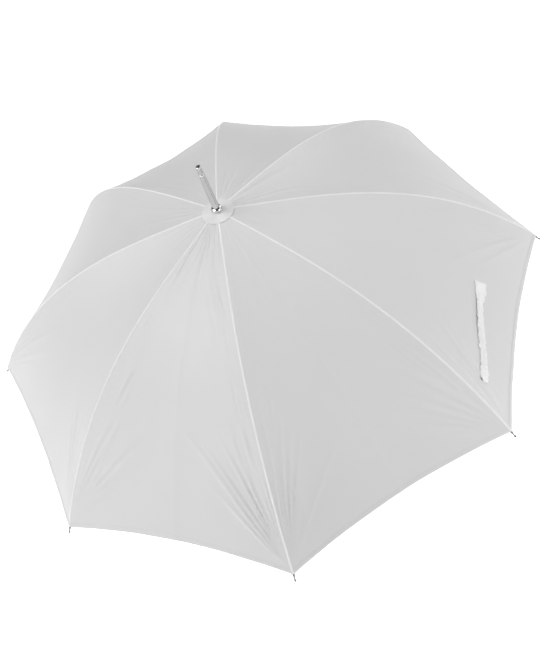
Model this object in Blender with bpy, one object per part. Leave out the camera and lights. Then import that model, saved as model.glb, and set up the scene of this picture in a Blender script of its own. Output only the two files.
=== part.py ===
"""A full-size stick umbrella, open, with a white canopy of eight panels.

Run it with: blender --background --python part.py

Metres, +Z up the shaft. The origin is the centre of the handle's flat end, and rib 1 points along +X.
Ribs, stretchers, tips and panels are numbered 1 to 8, turning from +X towards +Y.

How it folds: each stretcher is as long as the distance from its rib's hinge in the notch to its own
joint on the rib. Rib and stretcher are then the two equal sides of a triangle standing on the shaft,
so when the rib turns by an angle the stretcher turns by the same angle the other way, and the
runner goes straight down the shaft. Each rib has a second hinge at its joint bracket, in place of
the bend that a real rib takes when the umbrella is closed.
"""

import math

import bmesh
import bpy
from mathutils import Vector

# Canopy
PANELS = 8
STEP = 2 * math.pi / PANELS
CANOPY_R = 0.600  # shaft axis to the hem at a rib
# Depth below the apex over CANOPY_R, by powers of radius over CANOPY_R
RIB_CURVE = (0.163, -0.150, 0.536, -0.050)
HEM_CURVE = 0.0184  # how far the hem curves in at mid-panel, as a share of the radius
FABRIC = 0.0005
SAG_HEM, SAG_MIDDLE = 0.0027, 0.0112  # how far tension pulls the fabric in at mid-panel
SEAM_GAP = 0.0004
CANOPY_HOLE_R = 0.009
PANEL_ROWS, PANEL_COLUMNS = 20, 4

# Heights along the shaft
APEX_Z = 0.895
FERRULE_LENGTH, FERRULE_CAP = 0.110, 0.018
HANDLE_LENGTH = 0.150
COLLAR_LENGTH = 0.012
SHAFT_BOTTOM_Z = 0.090

# Ferrule, the cup around its foot and the rosette under the cup
FERRULE_FLANGE_R, FERRULE_BASE_R, FERRULE_TIP_R = 0.0074, 0.0066, 0.0048
FERRULE_BASE, FERRULE_FLANGE_TOP = 0.0012, 0.0042  # over the apex
SPIGOT_LENGTH, SPIGOT_PLAY = 0.014, 0.0004
FERRULE_EDGE, FERRULE_STEP, FERRULE_SHOULDER = 0.0012, 0.0003, 0.0005
CUP_SIDE = ((0.0100, 0.0004), (0.0104, 0.0018), (0.0100, 0.0042), (0.0086, 0.0064), (0.0072, 0.0074))
CUP_TOP, CUP_LIP_UNDER, CUP_BORE_TOP = 0.0076, 0.0056, 0.0050  # over the apex
ROSETTE_INNER, ROSETTE_OUTER, ROSETTE_THICK, ROSETTE_LIFT = 0.0076, 0.032, 0.0008, 0.0004

# Shaft and the two slotted crowns that hold the ribs and the stretchers
SHAFT_R, SHAFT_WALL = 0.007, 0.0007
GAP = 0.0003
PIVOT_R = 0.011  # radius of the wire rings that every rib and stretcher turns on
NOTCH_DROP = 0.0072  # apex to the rib hinges
CROWN_R = 0.014
CROWN_SIDE = 0.005  # crown past the pivot on the slots' open side
CROWN_BACK = 0.0036  # crown past the pivot on the slots' closed side
SLOT_WIDTH, SLOT_BACK, SLOT_IN = 0.0024, 0.0026, 0.0027
GROOVE = 0.0009
WIRE_R = 0.0006
NECK_R = 0.0089
NOTCH_NECK, CROWN_EDGE = 0.014, 0.001
SHAFT_PAST_APEX, SLOT_ROOM = 0.0009, 0.0005
SLEEVE_R, SLEEVE_LENGTH, NECK_LENGTH = 0.0115, 0.040, 0.012
SLEEVE_EDGE, FLARE_START, FLARE_END = 0.001, 0.008, 0.0055  # the flare's heights are under the pivot
RUNNER_PLAY = 0.00005

# Handle, its end cap and its collar
SOCKET_R = SHAFT_R + 0.0004
CAP_SOCKET_R, CAP_SOCKET_DEPTH, CAP_DEPTH, CAP_EDGE = 0.0114, 0.0033, 0.003, 0.0005
HANDLE_SIDE = (
    (0.0132, 0),
    (0.0145, 0.003),
    (0.0147, 0.015),
    (0.0140, 0.045),
    (0.0127, 0.085),
    (0.0118, 0.120),
    (0.0115, HANDLE_LENGTH),
)
COLLAR_SIDE = (
    (0.0120, 0),
    (0.0124, 0.002),
    (0.0116, 0.005),
    (0.0110, COLLAR_LENGTH - 0.001),
    (0.0100, COLLAR_LENGTH),
)

# Ribs and stretchers
RIB_DROP = 0.0034  # fabric's outer face to the rib's centre line
JOINT_R = 0.330  # fabric radius above the joint bracket
FOLD_GAP = 0.0008  # the bracket's hinge to the ends of the two rib lengths
RIB_HALF, RIB_OUTER_HALF, RIB_TIP_HALF = 0.0016, 0.0015, 0.0011
FOOT_LENGTH, FOOT_HALF_WIDTH, FOOT_HALF_HEIGHT = 0.012, 0.0007, 0.0013
EYE_R, EYE_HOLE_R = 0.0022, 0.0011
FOOT_EYE_HALF_WIDTH, PIN_EYE_HALF_WIDTH = 0.0008, 0.0017
STRETCHER_HALF = 0.0015
BRACKET_DROP = 0.005  # rib's centre line to the stretcher's pin
EAR_INNER, EAR_OUTER, EAR_BACK, EAR_FRONT = 0.0020, 0.0028, 0.009, 0.0025
PIN_R = 0.00075
BLOCK_HALF_WIDTH, BLOCK_FRONT, BLOCK_HALF_HEIGHT = 0.0025, 0.0015, 0.0018
EAR_TOP = 0.0016
BAR_SPANS = 8

# Tips
TIP_IN, TIP_OUT = 0.017, 0.0165  # length under the fabric and length past the hem
TIP_BORE_R, TIP_BORE = 0.00145, 0.0134
TIP_SOCKET_R, TIP_BELLY_R, TIP_NECK_R, TIP_BALL_R = 0.0018, 0.0023, 0.0013, 0.0022
TIP_FLARE, TIP_BELLY, TIP_NECK = 0.002, 0.004, 0.0065

# Catches and stop pin, halfway between rib 1 and rib 2
CATCH_AZIMUTH = STEP / 2
CATCH_WIDTH, CATCH_OUT, CATCH_HEIGHT = 0.0032, 0.010, 0.013
KEYWAY_R, KEYWAY_WIDTH = 0.0104, 0.0042
WINDOW = (0.009, 0.025)  # above the runner's lower end
CATCH_GAP = 0.0004
LEAF_INNER, LEAF_OUTER, LEAF_TOP, LEAF_BOTTOM = 0.0046, 0.0056, 0.014, 0.030
CATCH_NOSE, CATCH_HEEL_R = 0.0025, 0.0064
STOP_PIN_R, STOP_PIN_HALF = 0.0015, 0.0095

# Tie strap on panel 1: fabric radius, and place across the panel from rib 1 (0) to rib 2 (1)
STRAP_FROM, STRAP_TO = (0.516, 0.576), (0.5455, 0.086)
STRAP_WIDTH, STRAP_THICK, STRAP_ARCH = 0.022, 0.0010, 0.0035
PATCH_HALF_LENGTH, PATCH_HALF_WIDTH, PATCH_THICK = 0.009, 0.0095, 0.0006
STRAP_LIFT, PATCH_LIFT = 0.0014, 0.0004
STRAP_SPANS = 12


# The canopy's outer face and the rib line under it, in the plane of one rib

def fabric_z(radius):
    share = radius / CANOPY_R
    return APEX_Z - CANOPY_R * sum(c * share ** (n + 1) for n, c in enumerate(RIB_CURVE))


def slope(radius):
    """The canopy's angle below level at this radius."""
    share = radius / CANOPY_R
    return math.atan(sum(c * (n + 1) * share**n for n, c in enumerate(RIB_CURVE)))


def along(point, angle, forward, up=0.0):
    """The point moved forward and up in axes that are tilted down by the angle."""
    x, z = point
    return (
        x + forward * math.cos(angle) + up * math.sin(angle),
        z - forward * math.sin(angle) + up * math.cos(angle),
    )


def rib_point(radius):
    return along((radius, fabric_z(radius)), slope(radius), 0, -RIB_DROP)


def straight_point(radius, across):
    """A point on the straight lines between panel 1's two ribs."""
    near = Vector((radius, 0, fabric_z(radius)))
    far = Vector((radius * math.cos(STEP), radius * math.sin(STEP), fabric_z(radius)))
    return near.lerp(far, across)


def panel_normal(radius, across):
    out = straight_point(radius + 0.001, across) - straight_point(radius - 0.001, across)
    side = straight_point(radius, 1) - straight_point(radius, 0)
    return out.cross(side).normalized()


def panel_point(radius, across):
    """A point of panel 1's outer face, which is pulled in between the ribs."""
    share = radius / CANOPY_R
    sag = SAG_HEM * share**1.5 + SAG_MIDDLE * 6.75 * share**2 * (1 - share)
    return straight_point(radius, across) - panel_normal(radius, across) * sag * 4 * across * (1 - across)


# The linkage, in the plane of one rib

NOTCH_PIVOT = (PIVOT_R, APEX_Z - NOTCH_DROP)
FOLD_PIVOT = rib_point(JOINT_R)
JOINT_SLOPE = slope(JOINT_R)
STRETCHER_PIVOT = along(FOLD_PIVOT, JOINT_SLOPE, 0, -BRACKET_DROP)
LINK_LENGTH = math.dist(NOTCH_PIVOT, STRETCHER_PIVOT)
RUNNER_PIVOT = (PIVOT_R, 2 * STRETCHER_PIVOT[1] - NOTCH_PIVOT[1])
CLOSED_ANGLE = math.radians(85)  # the rib's triangle side below level when the umbrella is closed
RUNNER_CLOSED_Z = NOTCH_PIVOT[1] - 2 * LINK_LENGTH * math.sin(CLOSED_ANGLE)


# Mesh tools

def add_object(name, mesh):
    obj = bpy.data.objects.new(name, mesh)
    bpy.context.scene.collection.objects.link(obj)
    return obj


def make_mesh(name, points, faces):
    """A closed mesh whose faces all point out."""
    mesh = bpy.data.meshes.new(name)
    mesh.from_pydata([tuple(p) for p in points], [], faces)
    work = bmesh.new()
    work.from_mesh(mesh)
    bmesh.ops.recalc_face_normals(work, faces=work.faces)
    work.to_mesh(mesh)
    work.free()
    return mesh


def box(low, high):
    """A box's mesh from its lowest and highest corners."""
    xs, ys, zs = zip(low, high)
    points = [(x, y, z) for z in zs for y in ys for x in xs]
    faces = [(0, 2, 3, 1), (4, 5, 7, 6), (0, 1, 5, 4), (2, 6, 7, 3), (0, 4, 6, 2), (1, 3, 7, 5)]
    return make_mesh("box", points, faces)


def prism(outline, half_width):
    """An outline in the XZ plane made into a plate."""
    count = len(outline)
    points = [(x, y, z) for y in (-half_width, half_width) for x, z in outline]
    faces = [tuple(range(count))[::-1], tuple(range(count, 2 * count))]
    for i in range(count):
        j = (i + 1) % count
        faces.append((i, j, count + j, count + i))
    return make_mesh("prism", points, faces)


def rod(centre, radius, half_length, azimuth=math.pi / 2, sides=10):
    """A round bar through the centre, level, with its axis at the azimuth."""
    axis = Vector((math.cos(azimuth), math.sin(azimuth), 0))
    side = Vector((-math.sin(azimuth), math.cos(azimuth), 0))
    points = []
    for end in (-half_length, half_length):
        for i in range(sides):
            turn = 2 * math.pi * i / sides
            rim = side * math.cos(turn) * radius + Vector((0, 0, math.sin(turn) * radius))
            points.append(Vector(centre) + axis * end + rim)
    faces = [tuple(range(sides))[::-1], tuple(range(sides, 2 * sides))]
    for i in range(sides):
        j = (i + 1) % sides
        faces.append((i, j, sides + j, sides + i))
    return make_mesh("rod", points, faces)


def turned(profile, sides=24, closed=False):
    """A profile of (radius, height) points turned about Z.

    An open profile begins and ends on the axis. A closed one goes round a ring's section.
    """
    points, rings = [], []
    for radius, height in profile:
        if radius == 0:
            rings.append([len(points)] * sides)
            points.append((0, 0, height))
            continue
        rings.append(list(range(len(points), len(points) + sides)))
        for i in range(sides):
            turn = 2 * math.pi * i / sides
            points.append((radius * math.cos(turn), radius * math.sin(turn), height))
    pairs = list(zip(rings, rings[1:] + rings[:1])) if closed else list(zip(rings, rings[1:]))
    faces = []
    for low, high in pairs:
        for i in range(sides):
            j = (i + 1) % sides
            corners = dict.fromkeys((low[i], low[j], high[j], high[i]))
            faces.append(tuple(corners))
    return make_mesh("turned", points, faces)


def ring(radius, height, wire, sides=24, wire_sides=6):
    """A wire ring about Z."""
    turns = [2 * math.pi * (i + 0.5) / wire_sides for i in range(wire_sides)]
    profile = [(radius + wire * math.cos(t), height + wire * math.sin(t)) for t in turns]
    return turned(profile, sides, closed=True)


def swept(path, half_widths, half_heights, chamfer=0.3):
    """A bar along a path in the XZ plane, with a rectangular section whose corners are cut."""
    points, faces = [], []
    ends = [path[0]] + list(path) + [path[-1]]
    for i, (x, z) in enumerate(path):
        (x0, z0), (x1, z1) = ends[i], ends[i + 2]
        length = math.dist((x0, z0), (x1, z1))
        up = Vector((-(z1 - z0) / length, 0, (x1 - x0) / length))
        wide, tall = half_widths[i], half_heights[i]
        cut_wide, cut_tall = wide * (1 - 2 * chamfer), tall * (1 - 2 * chamfer)
        section = [(wide, -cut_tall), (wide, cut_tall), (cut_wide, tall), (-cut_wide, tall)]
        section += [(-y, -u) for y, u in section]
        points += [Vector((x, y, z)) + up * u for y, u in section]
    count = 8
    for i in range(len(path) - 1):
        for j in range(count):
            k = (j + 1) % count
            low, high = i * count, (i + 1) * count
            faces.append((low + j, high + j, high + k, low + k))
    faces.append(tuple(range(count)))
    faces.append(tuple(range(len(points) - 1, len(points) - count - 1, -1)))
    return make_mesh("bar", points, faces)


def combined(base, joined=(), cut=()):
    """One mesh: the base with some meshes joined to it and then others cut from it."""
    body = add_object("base", base)
    tools = []
    for operation, meshes in (("UNION", joined), ("DIFFERENCE", cut)):
        for mesh in meshes:
            tool = add_object("tool", mesh)
            tools.append(tool)
            boolean = body.modifiers.new("boolean", "BOOLEAN")
            boolean.operation = operation
            boolean.object = tool
    bpy.context.view_layer.update()
    graph = bpy.context.evaluated_depsgraph_get()
    mesh = bpy.data.meshes.new_from_object(body.evaluated_get(graph))
    for obj in [body] + tools:
        bpy.data.objects.remove(obj)
    return mesh


def turned_box(low, high, azimuth):
    """A box's mesh turned about Z."""
    mesh = box(low, high)
    for vertex in mesh.vertices:
        x, y, z = vertex.co
        vertex.co = (
            x * math.cos(azimuth) - y * math.sin(azimuth),
            x * math.sin(azimuth) + y * math.cos(azimuth),
            z,
        )
    return mesh


def moved(mesh, offset):
    for vertex in mesh.vertices:
        vertex.co += Vector(offset)
    return mesh


# Materials

def material(name, colour, roughness, metallic=0.0):
    made = bpy.data.materials.new(name)
    made.use_nodes = True
    shader = made.node_tree.nodes["Principled BSDF"]
    shader.inputs["Base Color"].default_value = (*colour, 1)
    shader.inputs["Roughness"].default_value = roughness
    shader.inputs["Metallic"].default_value = metallic
    return made


def place(name, mesh, finish, pivot=(0, 0, 0), azimuth=0.0):
    """Adds a sub-part whose mesh is drawn around its pivot."""
    if not mesh.materials:
        mesh.materials.append(finish)
    mesh.shade_smooth()
    mesh.set_sharp_from_angle(angle=math.radians(30))
    obj = add_object(name, mesh)
    x, y, z = pivot
    obj.location = (
        x * math.cos(azimuth) - y * math.sin(azimuth),
        x * math.sin(azimuth) + y * math.cos(azimuth),
        z,
    )
    obj.rotation_euler.z = azimuth
    return obj


# Sub-parts

def crown_slots(pivot_z, opening):
    """Cutters for the eight slots of a crown, which open upwards (1) or downwards (-1)."""
    ends = sorted((pivot_z - opening * SLOT_BACK, pivot_z + opening * (CROWN_SIDE + 0.001)))
    low = (PIVOT_R - SLOT_IN, -SLOT_WIDTH / 2, ends[0])
    high = (CROWN_R + 0.002, SLOT_WIDTH / 2, ends[1])
    return [turned_box(low, high, STEP * i) for i in range(PANELS)]


def make_shaft(metal):
    top = APEX_Z + SHAFT_PAST_APEX
    inner = SHAFT_R - SHAFT_WALL
    tube = turned(
        [(inner, SHAFT_BOTTOM_Z), (SHAFT_R, SHAFT_BOTTOM_Z), (SHAFT_R, top), (inner, top)], closed=True
    )
    room = SLOT_ROOM
    cutters = [rod((0, 0, STOP_PIN_Z), STOP_PIN_R + GAP, 0.01, CATCH_AZIMUTH + math.pi / 2)]
    half = CATCH_WIDTH / 2 + GAP
    for low, high in (
        (TOP_CATCH_Z - CATCH_HEIGHT - room, TOP_CATCH_Z + room),
        (BOTTOM_CATCH_Z - room, BOTTOM_CATCH_Z + CATCH_HEIGHT + room),
    ):
        cutters.append(turned_box((0.002, -half, low), (SHAFT_R + 0.002, half, high), CATCH_AZIMUTH))
    place("shaft", combined(tube, cut=cutters), metal)


def make_ferrule(metal):
    z = APEX_Z
    spigot_r = SHAFT_R - SHAFT_WALL - SPIGOT_PLAY
    base, flange_top, top = z + FERRULE_BASE, z + FERRULE_FLANGE_TOP, z + FERRULE_LENGTH
    cap_z = top - FERRULE_CAP
    profile = [
        (0, z - SPIGOT_LENGTH),
        (spigot_r, z - SPIGOT_LENGTH),
        (spigot_r, base),
        (FERRULE_FLANGE_R, base),
        (FERRULE_FLANGE_R, flange_top),
        (FERRULE_BASE_R, flange_top + SPIGOT_PLAY),
        (FERRULE_TIP_R + FERRULE_STEP, cap_z - FERRULE_SHOULDER),
        (FERRULE_TIP_R, cap_z),
        (FERRULE_TIP_R, top - FERRULE_EDGE),
        (FERRULE_TIP_R - FERRULE_EDGE, top),
        (0, top),
    ]
    place("ferrule", turned(profile), metal)
    lip_r = FERRULE_BASE_R + GAP
    bore = FERRULE_FLANGE_R + GAP
    cup = [(bore, z + CUP_SIDE[0][1])]
    cup += [(radius, z + height) for radius, height in CUP_SIDE]
    cup += [(lip_r, z + CUP_TOP), (lip_r, z + CUP_LIP_UNDER), (bore, z + CUP_BORE_TOP)]
    place("ferrule_cup", turned(cup, closed=True), metal)


def make_rosette(fabric):
    inner_z = fabric_z(CANOPY_HOLE_R) + ROSETTE_LIFT
    outer_z = fabric_z(ROSETTE_OUTER) + ROSETTE_LIFT
    profile = [
        (ROSETTE_INNER, inner_z),
        (ROSETTE_OUTER, outer_z),
        (ROSETTE_OUTER, outer_z + ROSETTE_THICK),
        (ROSETTE_INNER, inner_z + ROSETTE_THICK),
    ]
    place("top_rosette", turned(profile, closed=True), fabric)


def make_notch(plastic, steel):
    pivot_z = NOTCH_PIVOT[1]
    bore = SHAFT_R + GAP
    profile = [
        (bore, pivot_z - NOTCH_NECK),
        (NECK_R, pivot_z - NOTCH_NECK),
        (NECK_R, pivot_z - CROWN_SIDE),
        (PIVOT_R - GROOVE, pivot_z - CROWN_SIDE),
        (PIVOT_R - GROOVE, pivot_z + GROOVE),
        (PIVOT_R + GROOVE, pivot_z + GROOVE),
        (PIVOT_R + GROOVE, pivot_z - CROWN_SIDE),
        (CROWN_R, pivot_z - CROWN_SIDE),
        (CROWN_R, pivot_z + CROWN_BACK - CROWN_EDGE),
        (CROWN_R - CROWN_EDGE, pivot_z + CROWN_BACK),
        (bore, pivot_z + CROWN_BACK),
    ]
    crown = combined(turned(profile, closed=True), cut=crown_slots(pivot_z, -1))
    place("top_notch", crown, plastic)
    place("notch_wire", ring(PIVOT_R, pivot_z, WIRE_R), steel)


def make_runner(plastic, steel):
    pivot_z = RUNNER_PIVOT[1]
    low, high = pivot_z - SLEEVE_LENGTH, pivot_z + NECK_LENGTH
    bore = SHAFT_R + GAP + RUNNER_PLAY
    profile = [
        (bore, low),
        (SLEEVE_R - SLEEVE_EDGE, low),
        (SLEEVE_R, low + SLEEVE_EDGE),
        (SLEEVE_R, pivot_z - FLARE_START),
        (CROWN_R, pivot_z - FLARE_END),
        (CROWN_R, pivot_z + CROWN_SIDE),
        (PIVOT_R + GROOVE, pivot_z + CROWN_SIDE),
        (PIVOT_R + GROOVE, pivot_z - GROOVE),
        (PIVOT_R - GROOVE, pivot_z - GROOVE),
        (PIVOT_R - GROOVE, pivot_z + CROWN_SIDE),
        (NECK_R, pivot_z + CROWN_SIDE),
        (NECK_R, high),
        (bore, high),
    ]
    half = KEYWAY_WIDTH / 2
    window_half = half + 0.0005
    cutters = crown_slots(pivot_z, 1)
    cutters.append(turned_box((0.004, -half, low - 0.001), (KEYWAY_R, half, high + 0.001), CATCH_AZIMUTH))
    cutters.append(
        turned_box(
            (0.005, -window_half, low + WINDOW[0]), (0.013, window_half, low + WINDOW[1]), CATCH_AZIMUTH
        )
    )
    pivot = (PIVOT_R, 0, pivot_z)
    back = (-PIVOT_R, 0, -pivot_z)
    place("runner", moved(combined(turned(profile, closed=True), cut=cutters), back), plastic, pivot)
    place("runner_wire", moved(ring(PIVOT_R, pivot_z, WIRE_R), back), steel, pivot)


def make_catch(name, steel, ledge_z, side):
    """A leaf spring inside the shaft, with a wedge that stands out of the shaft's slot.

    The wedge's flat ledge faces up (1) or down (-1), and its slope runs down to the shaft on the other side.
    """
    outline = [
        (LEAF_INNER, LEAF_TOP),
        (LEAF_OUTER, LEAF_TOP),
        (LEAF_OUTER, 0),
        (CATCH_OUT, 0),
        (CATCH_OUT, -CATCH_NOSE),
        (CATCH_HEEL_R, -CATCH_HEIGHT),
        (LEAF_OUTER, -CATCH_HEIGHT),
        (LEAF_OUTER, -LEAF_BOTTOM),
        (LEAF_INNER, -LEAF_BOTTOM),
    ]
    plate = prism([(x, z * side) for x, z in outline], CATCH_WIDTH / 2)
    place(name, plate, steel, (0, 0, ledge_z), CATCH_AZIMUTH)


def make_stop_pin(steel):
    pin = rod((0, 0, 0), STOP_PIN_R, STOP_PIN_HALF, CATCH_AZIMUTH + math.pi / 2)
    place("stop_pin", pin, steel, (0, 0, STOP_PIN_Z))


def make_handle(wood, metal):
    profile = [(0, CAP_SOCKET_DEPTH), (CAP_SOCKET_R, CAP_SOCKET_DEPTH), (CAP_SOCKET_R, 0)]
    profile += [*HANDLE_SIDE, (SOCKET_R, HANDLE_LENGTH)]
    profile += [(SOCKET_R, SHAFT_BOTTOM_Z - GAP), (0, SHAFT_BOTTOM_Z - GAP)]
    place("handle", turned(profile), wood)
    cap_r = CAP_SOCKET_R - GAP
    cap = [(0, 0), (cap_r - CAP_EDGE, 0), (cap_r, CAP_EDGE), (cap_r, CAP_DEPTH), (0, CAP_DEPTH)]
    place("handle_end_cap", turned(cap), metal)
    low = HANDLE_LENGTH + GAP
    high = low + COLLAR_LENGTH
    collar = [(SOCKET_R, low)]
    collar += [(radius, low + height) for radius, height in COLLAR_SIDE]
    collar += [(SOCKET_R, high)]
    place("handle_collar", turned(collar, closed=True), metal)


def rib_inner_mesh():
    """The rib from its hinge in the notch to the joint bracket, drawn around the hinge."""
    nx, nz = NOTCH_PIVOT
    foot = (nx + FOOT_LENGTH, rib_point(nx + FOOT_LENGTH)[1])
    path = [foot]
    for i in range(1, BAR_SPANS + 1):
        radius = foot[0] + (JOINT_R - foot[0]) * i / BAR_SPANS
        path.append(rib_point(radius))
    path[-1] = along(FOLD_PIVOT, JOINT_SLOPE, -FOLD_GAP)
    bar = swept(path, [RIB_HALF] * len(path), [RIB_HALF] * len(path))
    root = swept([NOTCH_PIVOT, (foot[0] + 0.003, path[0][1])], [FOOT_HALF_WIDTH] * 2, [FOOT_HALF_HEIGHT] * 2)
    eye = rod((nx, 0, nz), EYE_R, FOOT_EYE_HALF_WIDTH)
    eye_hole = rod((nx, 0, nz), EYE_HOLE_R, 0.002, sides=8)

    def plate(inner, outer, back, front, low, high):
        corners = [(-back, low), (front, low), (front, high), (-back, high)]
        outline = [along(FOLD_PIVOT, JOINT_SLOPE, forward, up) for forward, up in corners]
        return moved(prism(outline, (outer - inner) / 2), (0, (inner + outer) / 2, 0))

    height = BLOCK_HALF_HEIGHT
    block = plate(-BLOCK_HALF_WIDTH, BLOCK_HALF_WIDTH, EAR_BACK, -BLOCK_FRONT, -height, height)
    ear_low = -BRACKET_DROP - EYE_R
    ears = [
        plate(EAR_INNER, EAR_OUTER, EAR_BACK - 0.0005, EAR_FRONT, ear_low, EAR_TOP),
        plate(-EAR_OUTER, -EAR_INNER, EAR_BACK - 0.0005, EAR_FRONT, ear_low, EAR_TOP),
    ]
    pin = rod((STRETCHER_PIVOT[0], 0, STRETCHER_PIVOT[1]), PIN_R, EAR_INNER + 0.0004, sides=6)
    mesh = combined(bar, joined=[root, eye, block, *ears, pin], cut=[eye_hole])
    return moved(mesh, (-nx, 0, -nz))


def rib_outer_mesh():
    """The rib from the joint bracket out to its tip, drawn around the bracket's fold hinge."""
    base_radius = tip_base()[0]
    path = [along(FOLD_PIVOT, JOINT_SLOPE, FOLD_GAP)]
    for i in range(1, BAR_SPANS + 1):
        path.append(rib_point(JOINT_R + (base_radius - JOINT_R) * i / BAR_SPANS))
    base, angle = tip_base()[1:]
    path.append(along(base, angle, TIP_BORE - 0.0005))
    halves = []
    for i in range(len(path)):
        share = min(1, i / BAR_SPANS)
        halves.append(RIB_OUTER_HALF + (RIB_TIP_HALF - RIB_OUTER_HALF) * share)
    x, z = FOLD_PIVOT
    return moved(swept(path, halves, halves), (-x, 0, -z))


def stretcher_mesh():
    """The stretcher, drawn around the pin that holds it to the rib's bracket."""
    px, pz = STRETCHER_PIVOT
    qx, qz = RUNNER_PIVOT
    ux, uz = (qx - px) / LINK_LENGTH, (qz - pz) / LINK_LENGTH

    def on_line(distance):
        return (px + ux * distance, pz + uz * distance)

    bar_end = LINK_LENGTH - FOOT_LENGTH
    bar = swept([on_line(0.0005), on_line(bar_end)], [STRETCHER_HALF] * 2, [STRETCHER_HALF] * 2)
    foot = swept([on_line(bar_end - 0.003), (qx, qz)], [FOOT_HALF_WIDTH] * 2, [FOOT_HALF_HEIGHT] * 2)
    outer_eye = rod((px, 0, pz), EYE_R, PIN_EYE_HALF_WIDTH)
    foot_eye = rod((qx, 0, qz), EYE_R, FOOT_EYE_HALF_WIDTH)
    holes = [rod((x, 0, z), EYE_HOLE_R, 0.003, sides=8) for x, z in (STRETCHER_PIVOT, RUNNER_PIVOT)]
    mesh = combined(bar, joined=[outer_eye, foot, foot_eye], cut=holes)
    return moved(mesh, (-px, 0, -pz))


def tip_base():
    """Where a tip's socket begins: the fabric radius above it, the point on the rib line, and the slope."""
    radius = CANOPY_R - TIP_IN * math.cos(slope(CANOPY_R - TIP_IN / 2))
    return radius, rib_point(radius), slope(radius)


def tip_mesh():
    """A rib's metal tip, turned about its own length and drawn around the bracket's fold hinge."""
    end = TIP_IN + TIP_OUT
    ball = [math.radians(a) for a in (-50, 0, 50)]
    profile = [
        (TIP_BORE_R, 0),
        (TIP_SOCKET_R, 0),
        (TIP_SOCKET_R, TIP_IN - TIP_FLARE),
        (TIP_BELLY_R, TIP_IN),
        (TIP_BELLY_R, TIP_IN + TIP_BELLY),
        (TIP_NECK_R, TIP_IN + TIP_NECK),
        (TIP_NECK_R, end - 2 * TIP_BALL_R),
    ]
    profile += [(TIP_BALL_R * math.cos(a), end - TIP_BALL_R + TIP_BALL_R * math.sin(a)) for a in ball]
    profile = [(0, TIP_BORE), (TIP_BORE_R, TIP_BORE)] + profile + [(0, end)]
    mesh = turned(profile, sides=8)
    _, base, angle = tip_base()
    x0, z0 = FOLD_PIVOT
    for vertex in mesh.vertices:
        across, side, length = vertex.co
        x, z = along(base, angle, length, across)
        vertex.co = (x - x0, -side, z - z0)
    return mesh


def panel_mesh():
    """One panel, drawn around rib 1's hinge in the notch."""
    points, faces = [], []
    columns = PANEL_COLUMNS + 1
    for face in (0, FABRIC):
        for row in range(PANEL_ROWS + 1):
            for column in range(columns):
                across = column / PANEL_COLUMNS
                hem = CANOPY_R * (1 - HEM_CURVE * 4 * across * (1 - across))
                radius = CANOPY_HOLE_R + (hem - CANOPY_HOLE_R) * row / PANEL_ROWS
                trim = SEAM_GAP / 2 / (2 * radius * math.sin(STEP / 2))
                across = trim + across * (1 - 2 * trim)
                normal = panel_normal(radius, across)
                points.append(panel_point(radius, across) - normal * face)
    layer = columns * (PANEL_ROWS + 1)
    for row in range(PANEL_ROWS):
        for column in range(PANEL_COLUMNS):
            a = row * columns + column
            for face in ((a, a + columns, a + columns + 1), (a, a + columns + 1, a + 1)):
                faces.append(face)
                faces.append(tuple(i + layer for i in reversed(face)))
    edge = [row * columns for row in range(PANEL_ROWS)]
    edge += [PANEL_ROWS * columns + column for column in range(PANEL_COLUMNS)]
    edge += [row * columns + PANEL_COLUMNS for row in range(PANEL_ROWS, 0, -1)]
    edge += list(range(PANEL_COLUMNS, 0, -1))
    for i, j in zip(edge, edge[1:] + edge[:1]):
        faces += [(j, i, i + layer), (j, i + layer, j + layer)]
    x, z = NOTCH_PIVOT
    return moved(make_mesh("panel", points, faces), (-x, 0, -z))


def make_strap(webbing, patch_finish):
    """The tie strap: a ribbon sewn to panel 1 at both ends and arched clear of it between them."""
    x0, z0 = FOLD_PIVOT
    stations = []
    for i in range(STRAP_SPANS + 1):
        share = i / STRAP_SPANS
        radius = STRAP_FROM[0] + (STRAP_TO[0] - STRAP_FROM[0]) * share
        across = STRAP_FROM[1] + (STRAP_TO[1] - STRAP_FROM[1]) * share
        normal = panel_normal(radius, across)
        lift = STRAP_LIFT + STRAP_ARCH * math.sin(math.pi * share) ** 2
        stations.append((panel_point(radius, across) + normal * lift, normal))
    points, faces = [], []
    for i, (centre, normal) in enumerate(stations):
        ahead = stations[min(i + 1, STRAP_SPANS)][0] - stations[max(i - 1, 0)][0]
        side = ahead.cross(normal).normalized() * STRAP_WIDTH / 2
        up = side.cross(ahead).normalized() * STRAP_THICK / 2
        points += [centre - side - up, centre + side - up, centre + side + up, centre - side + up]
    for i in range(STRAP_SPANS):
        for j in range(4):
            k = (j + 1) % 4
            faces.append((4 * i + j, 4 * i + k, 4 * i + 4 + k, 4 * i + 4 + j))
    faces.append((3, 2, 1, 0))
    last = 4 * STRAP_SPANS
    faces.append((last, last + 1, last + 2, last + 3))
    mesh = make_mesh("strap", points, faces)
    place("tie_strap", moved(mesh, (-x0, 0, -z0)), webbing, (x0, 0, z0))

    centre, normal = stations[1]
    ahead = (stations[2][0] - stations[0][0]).normalized()
    side = ahead.cross(normal).normalized()
    up = side.cross(ahead).normalized()
    points = []
    low = STRAP_THICK / 2 + PATCH_LIFT
    for level in (low, low + PATCH_THICK):
        for forward, sideways in ((-1, -1), (1, -1), (1, 1), (-1, 1)):
            corner = ahead * forward * PATCH_HALF_LENGTH + side * sideways * PATCH_HALF_WIDTH
            points.append(centre + up * level + corner)
    faces = [(0, 1, 2, 3), (7, 6, 5, 4), (0, 4, 5, 1), (1, 5, 6, 2), (2, 6, 7, 3), (3, 7, 4, 0)]
    patch = make_mesh("patch", points, faces)
    place("strap_patch", moved(patch, (-x0, 0, -z0)), patch_finish, (x0, 0, z0))


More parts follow.
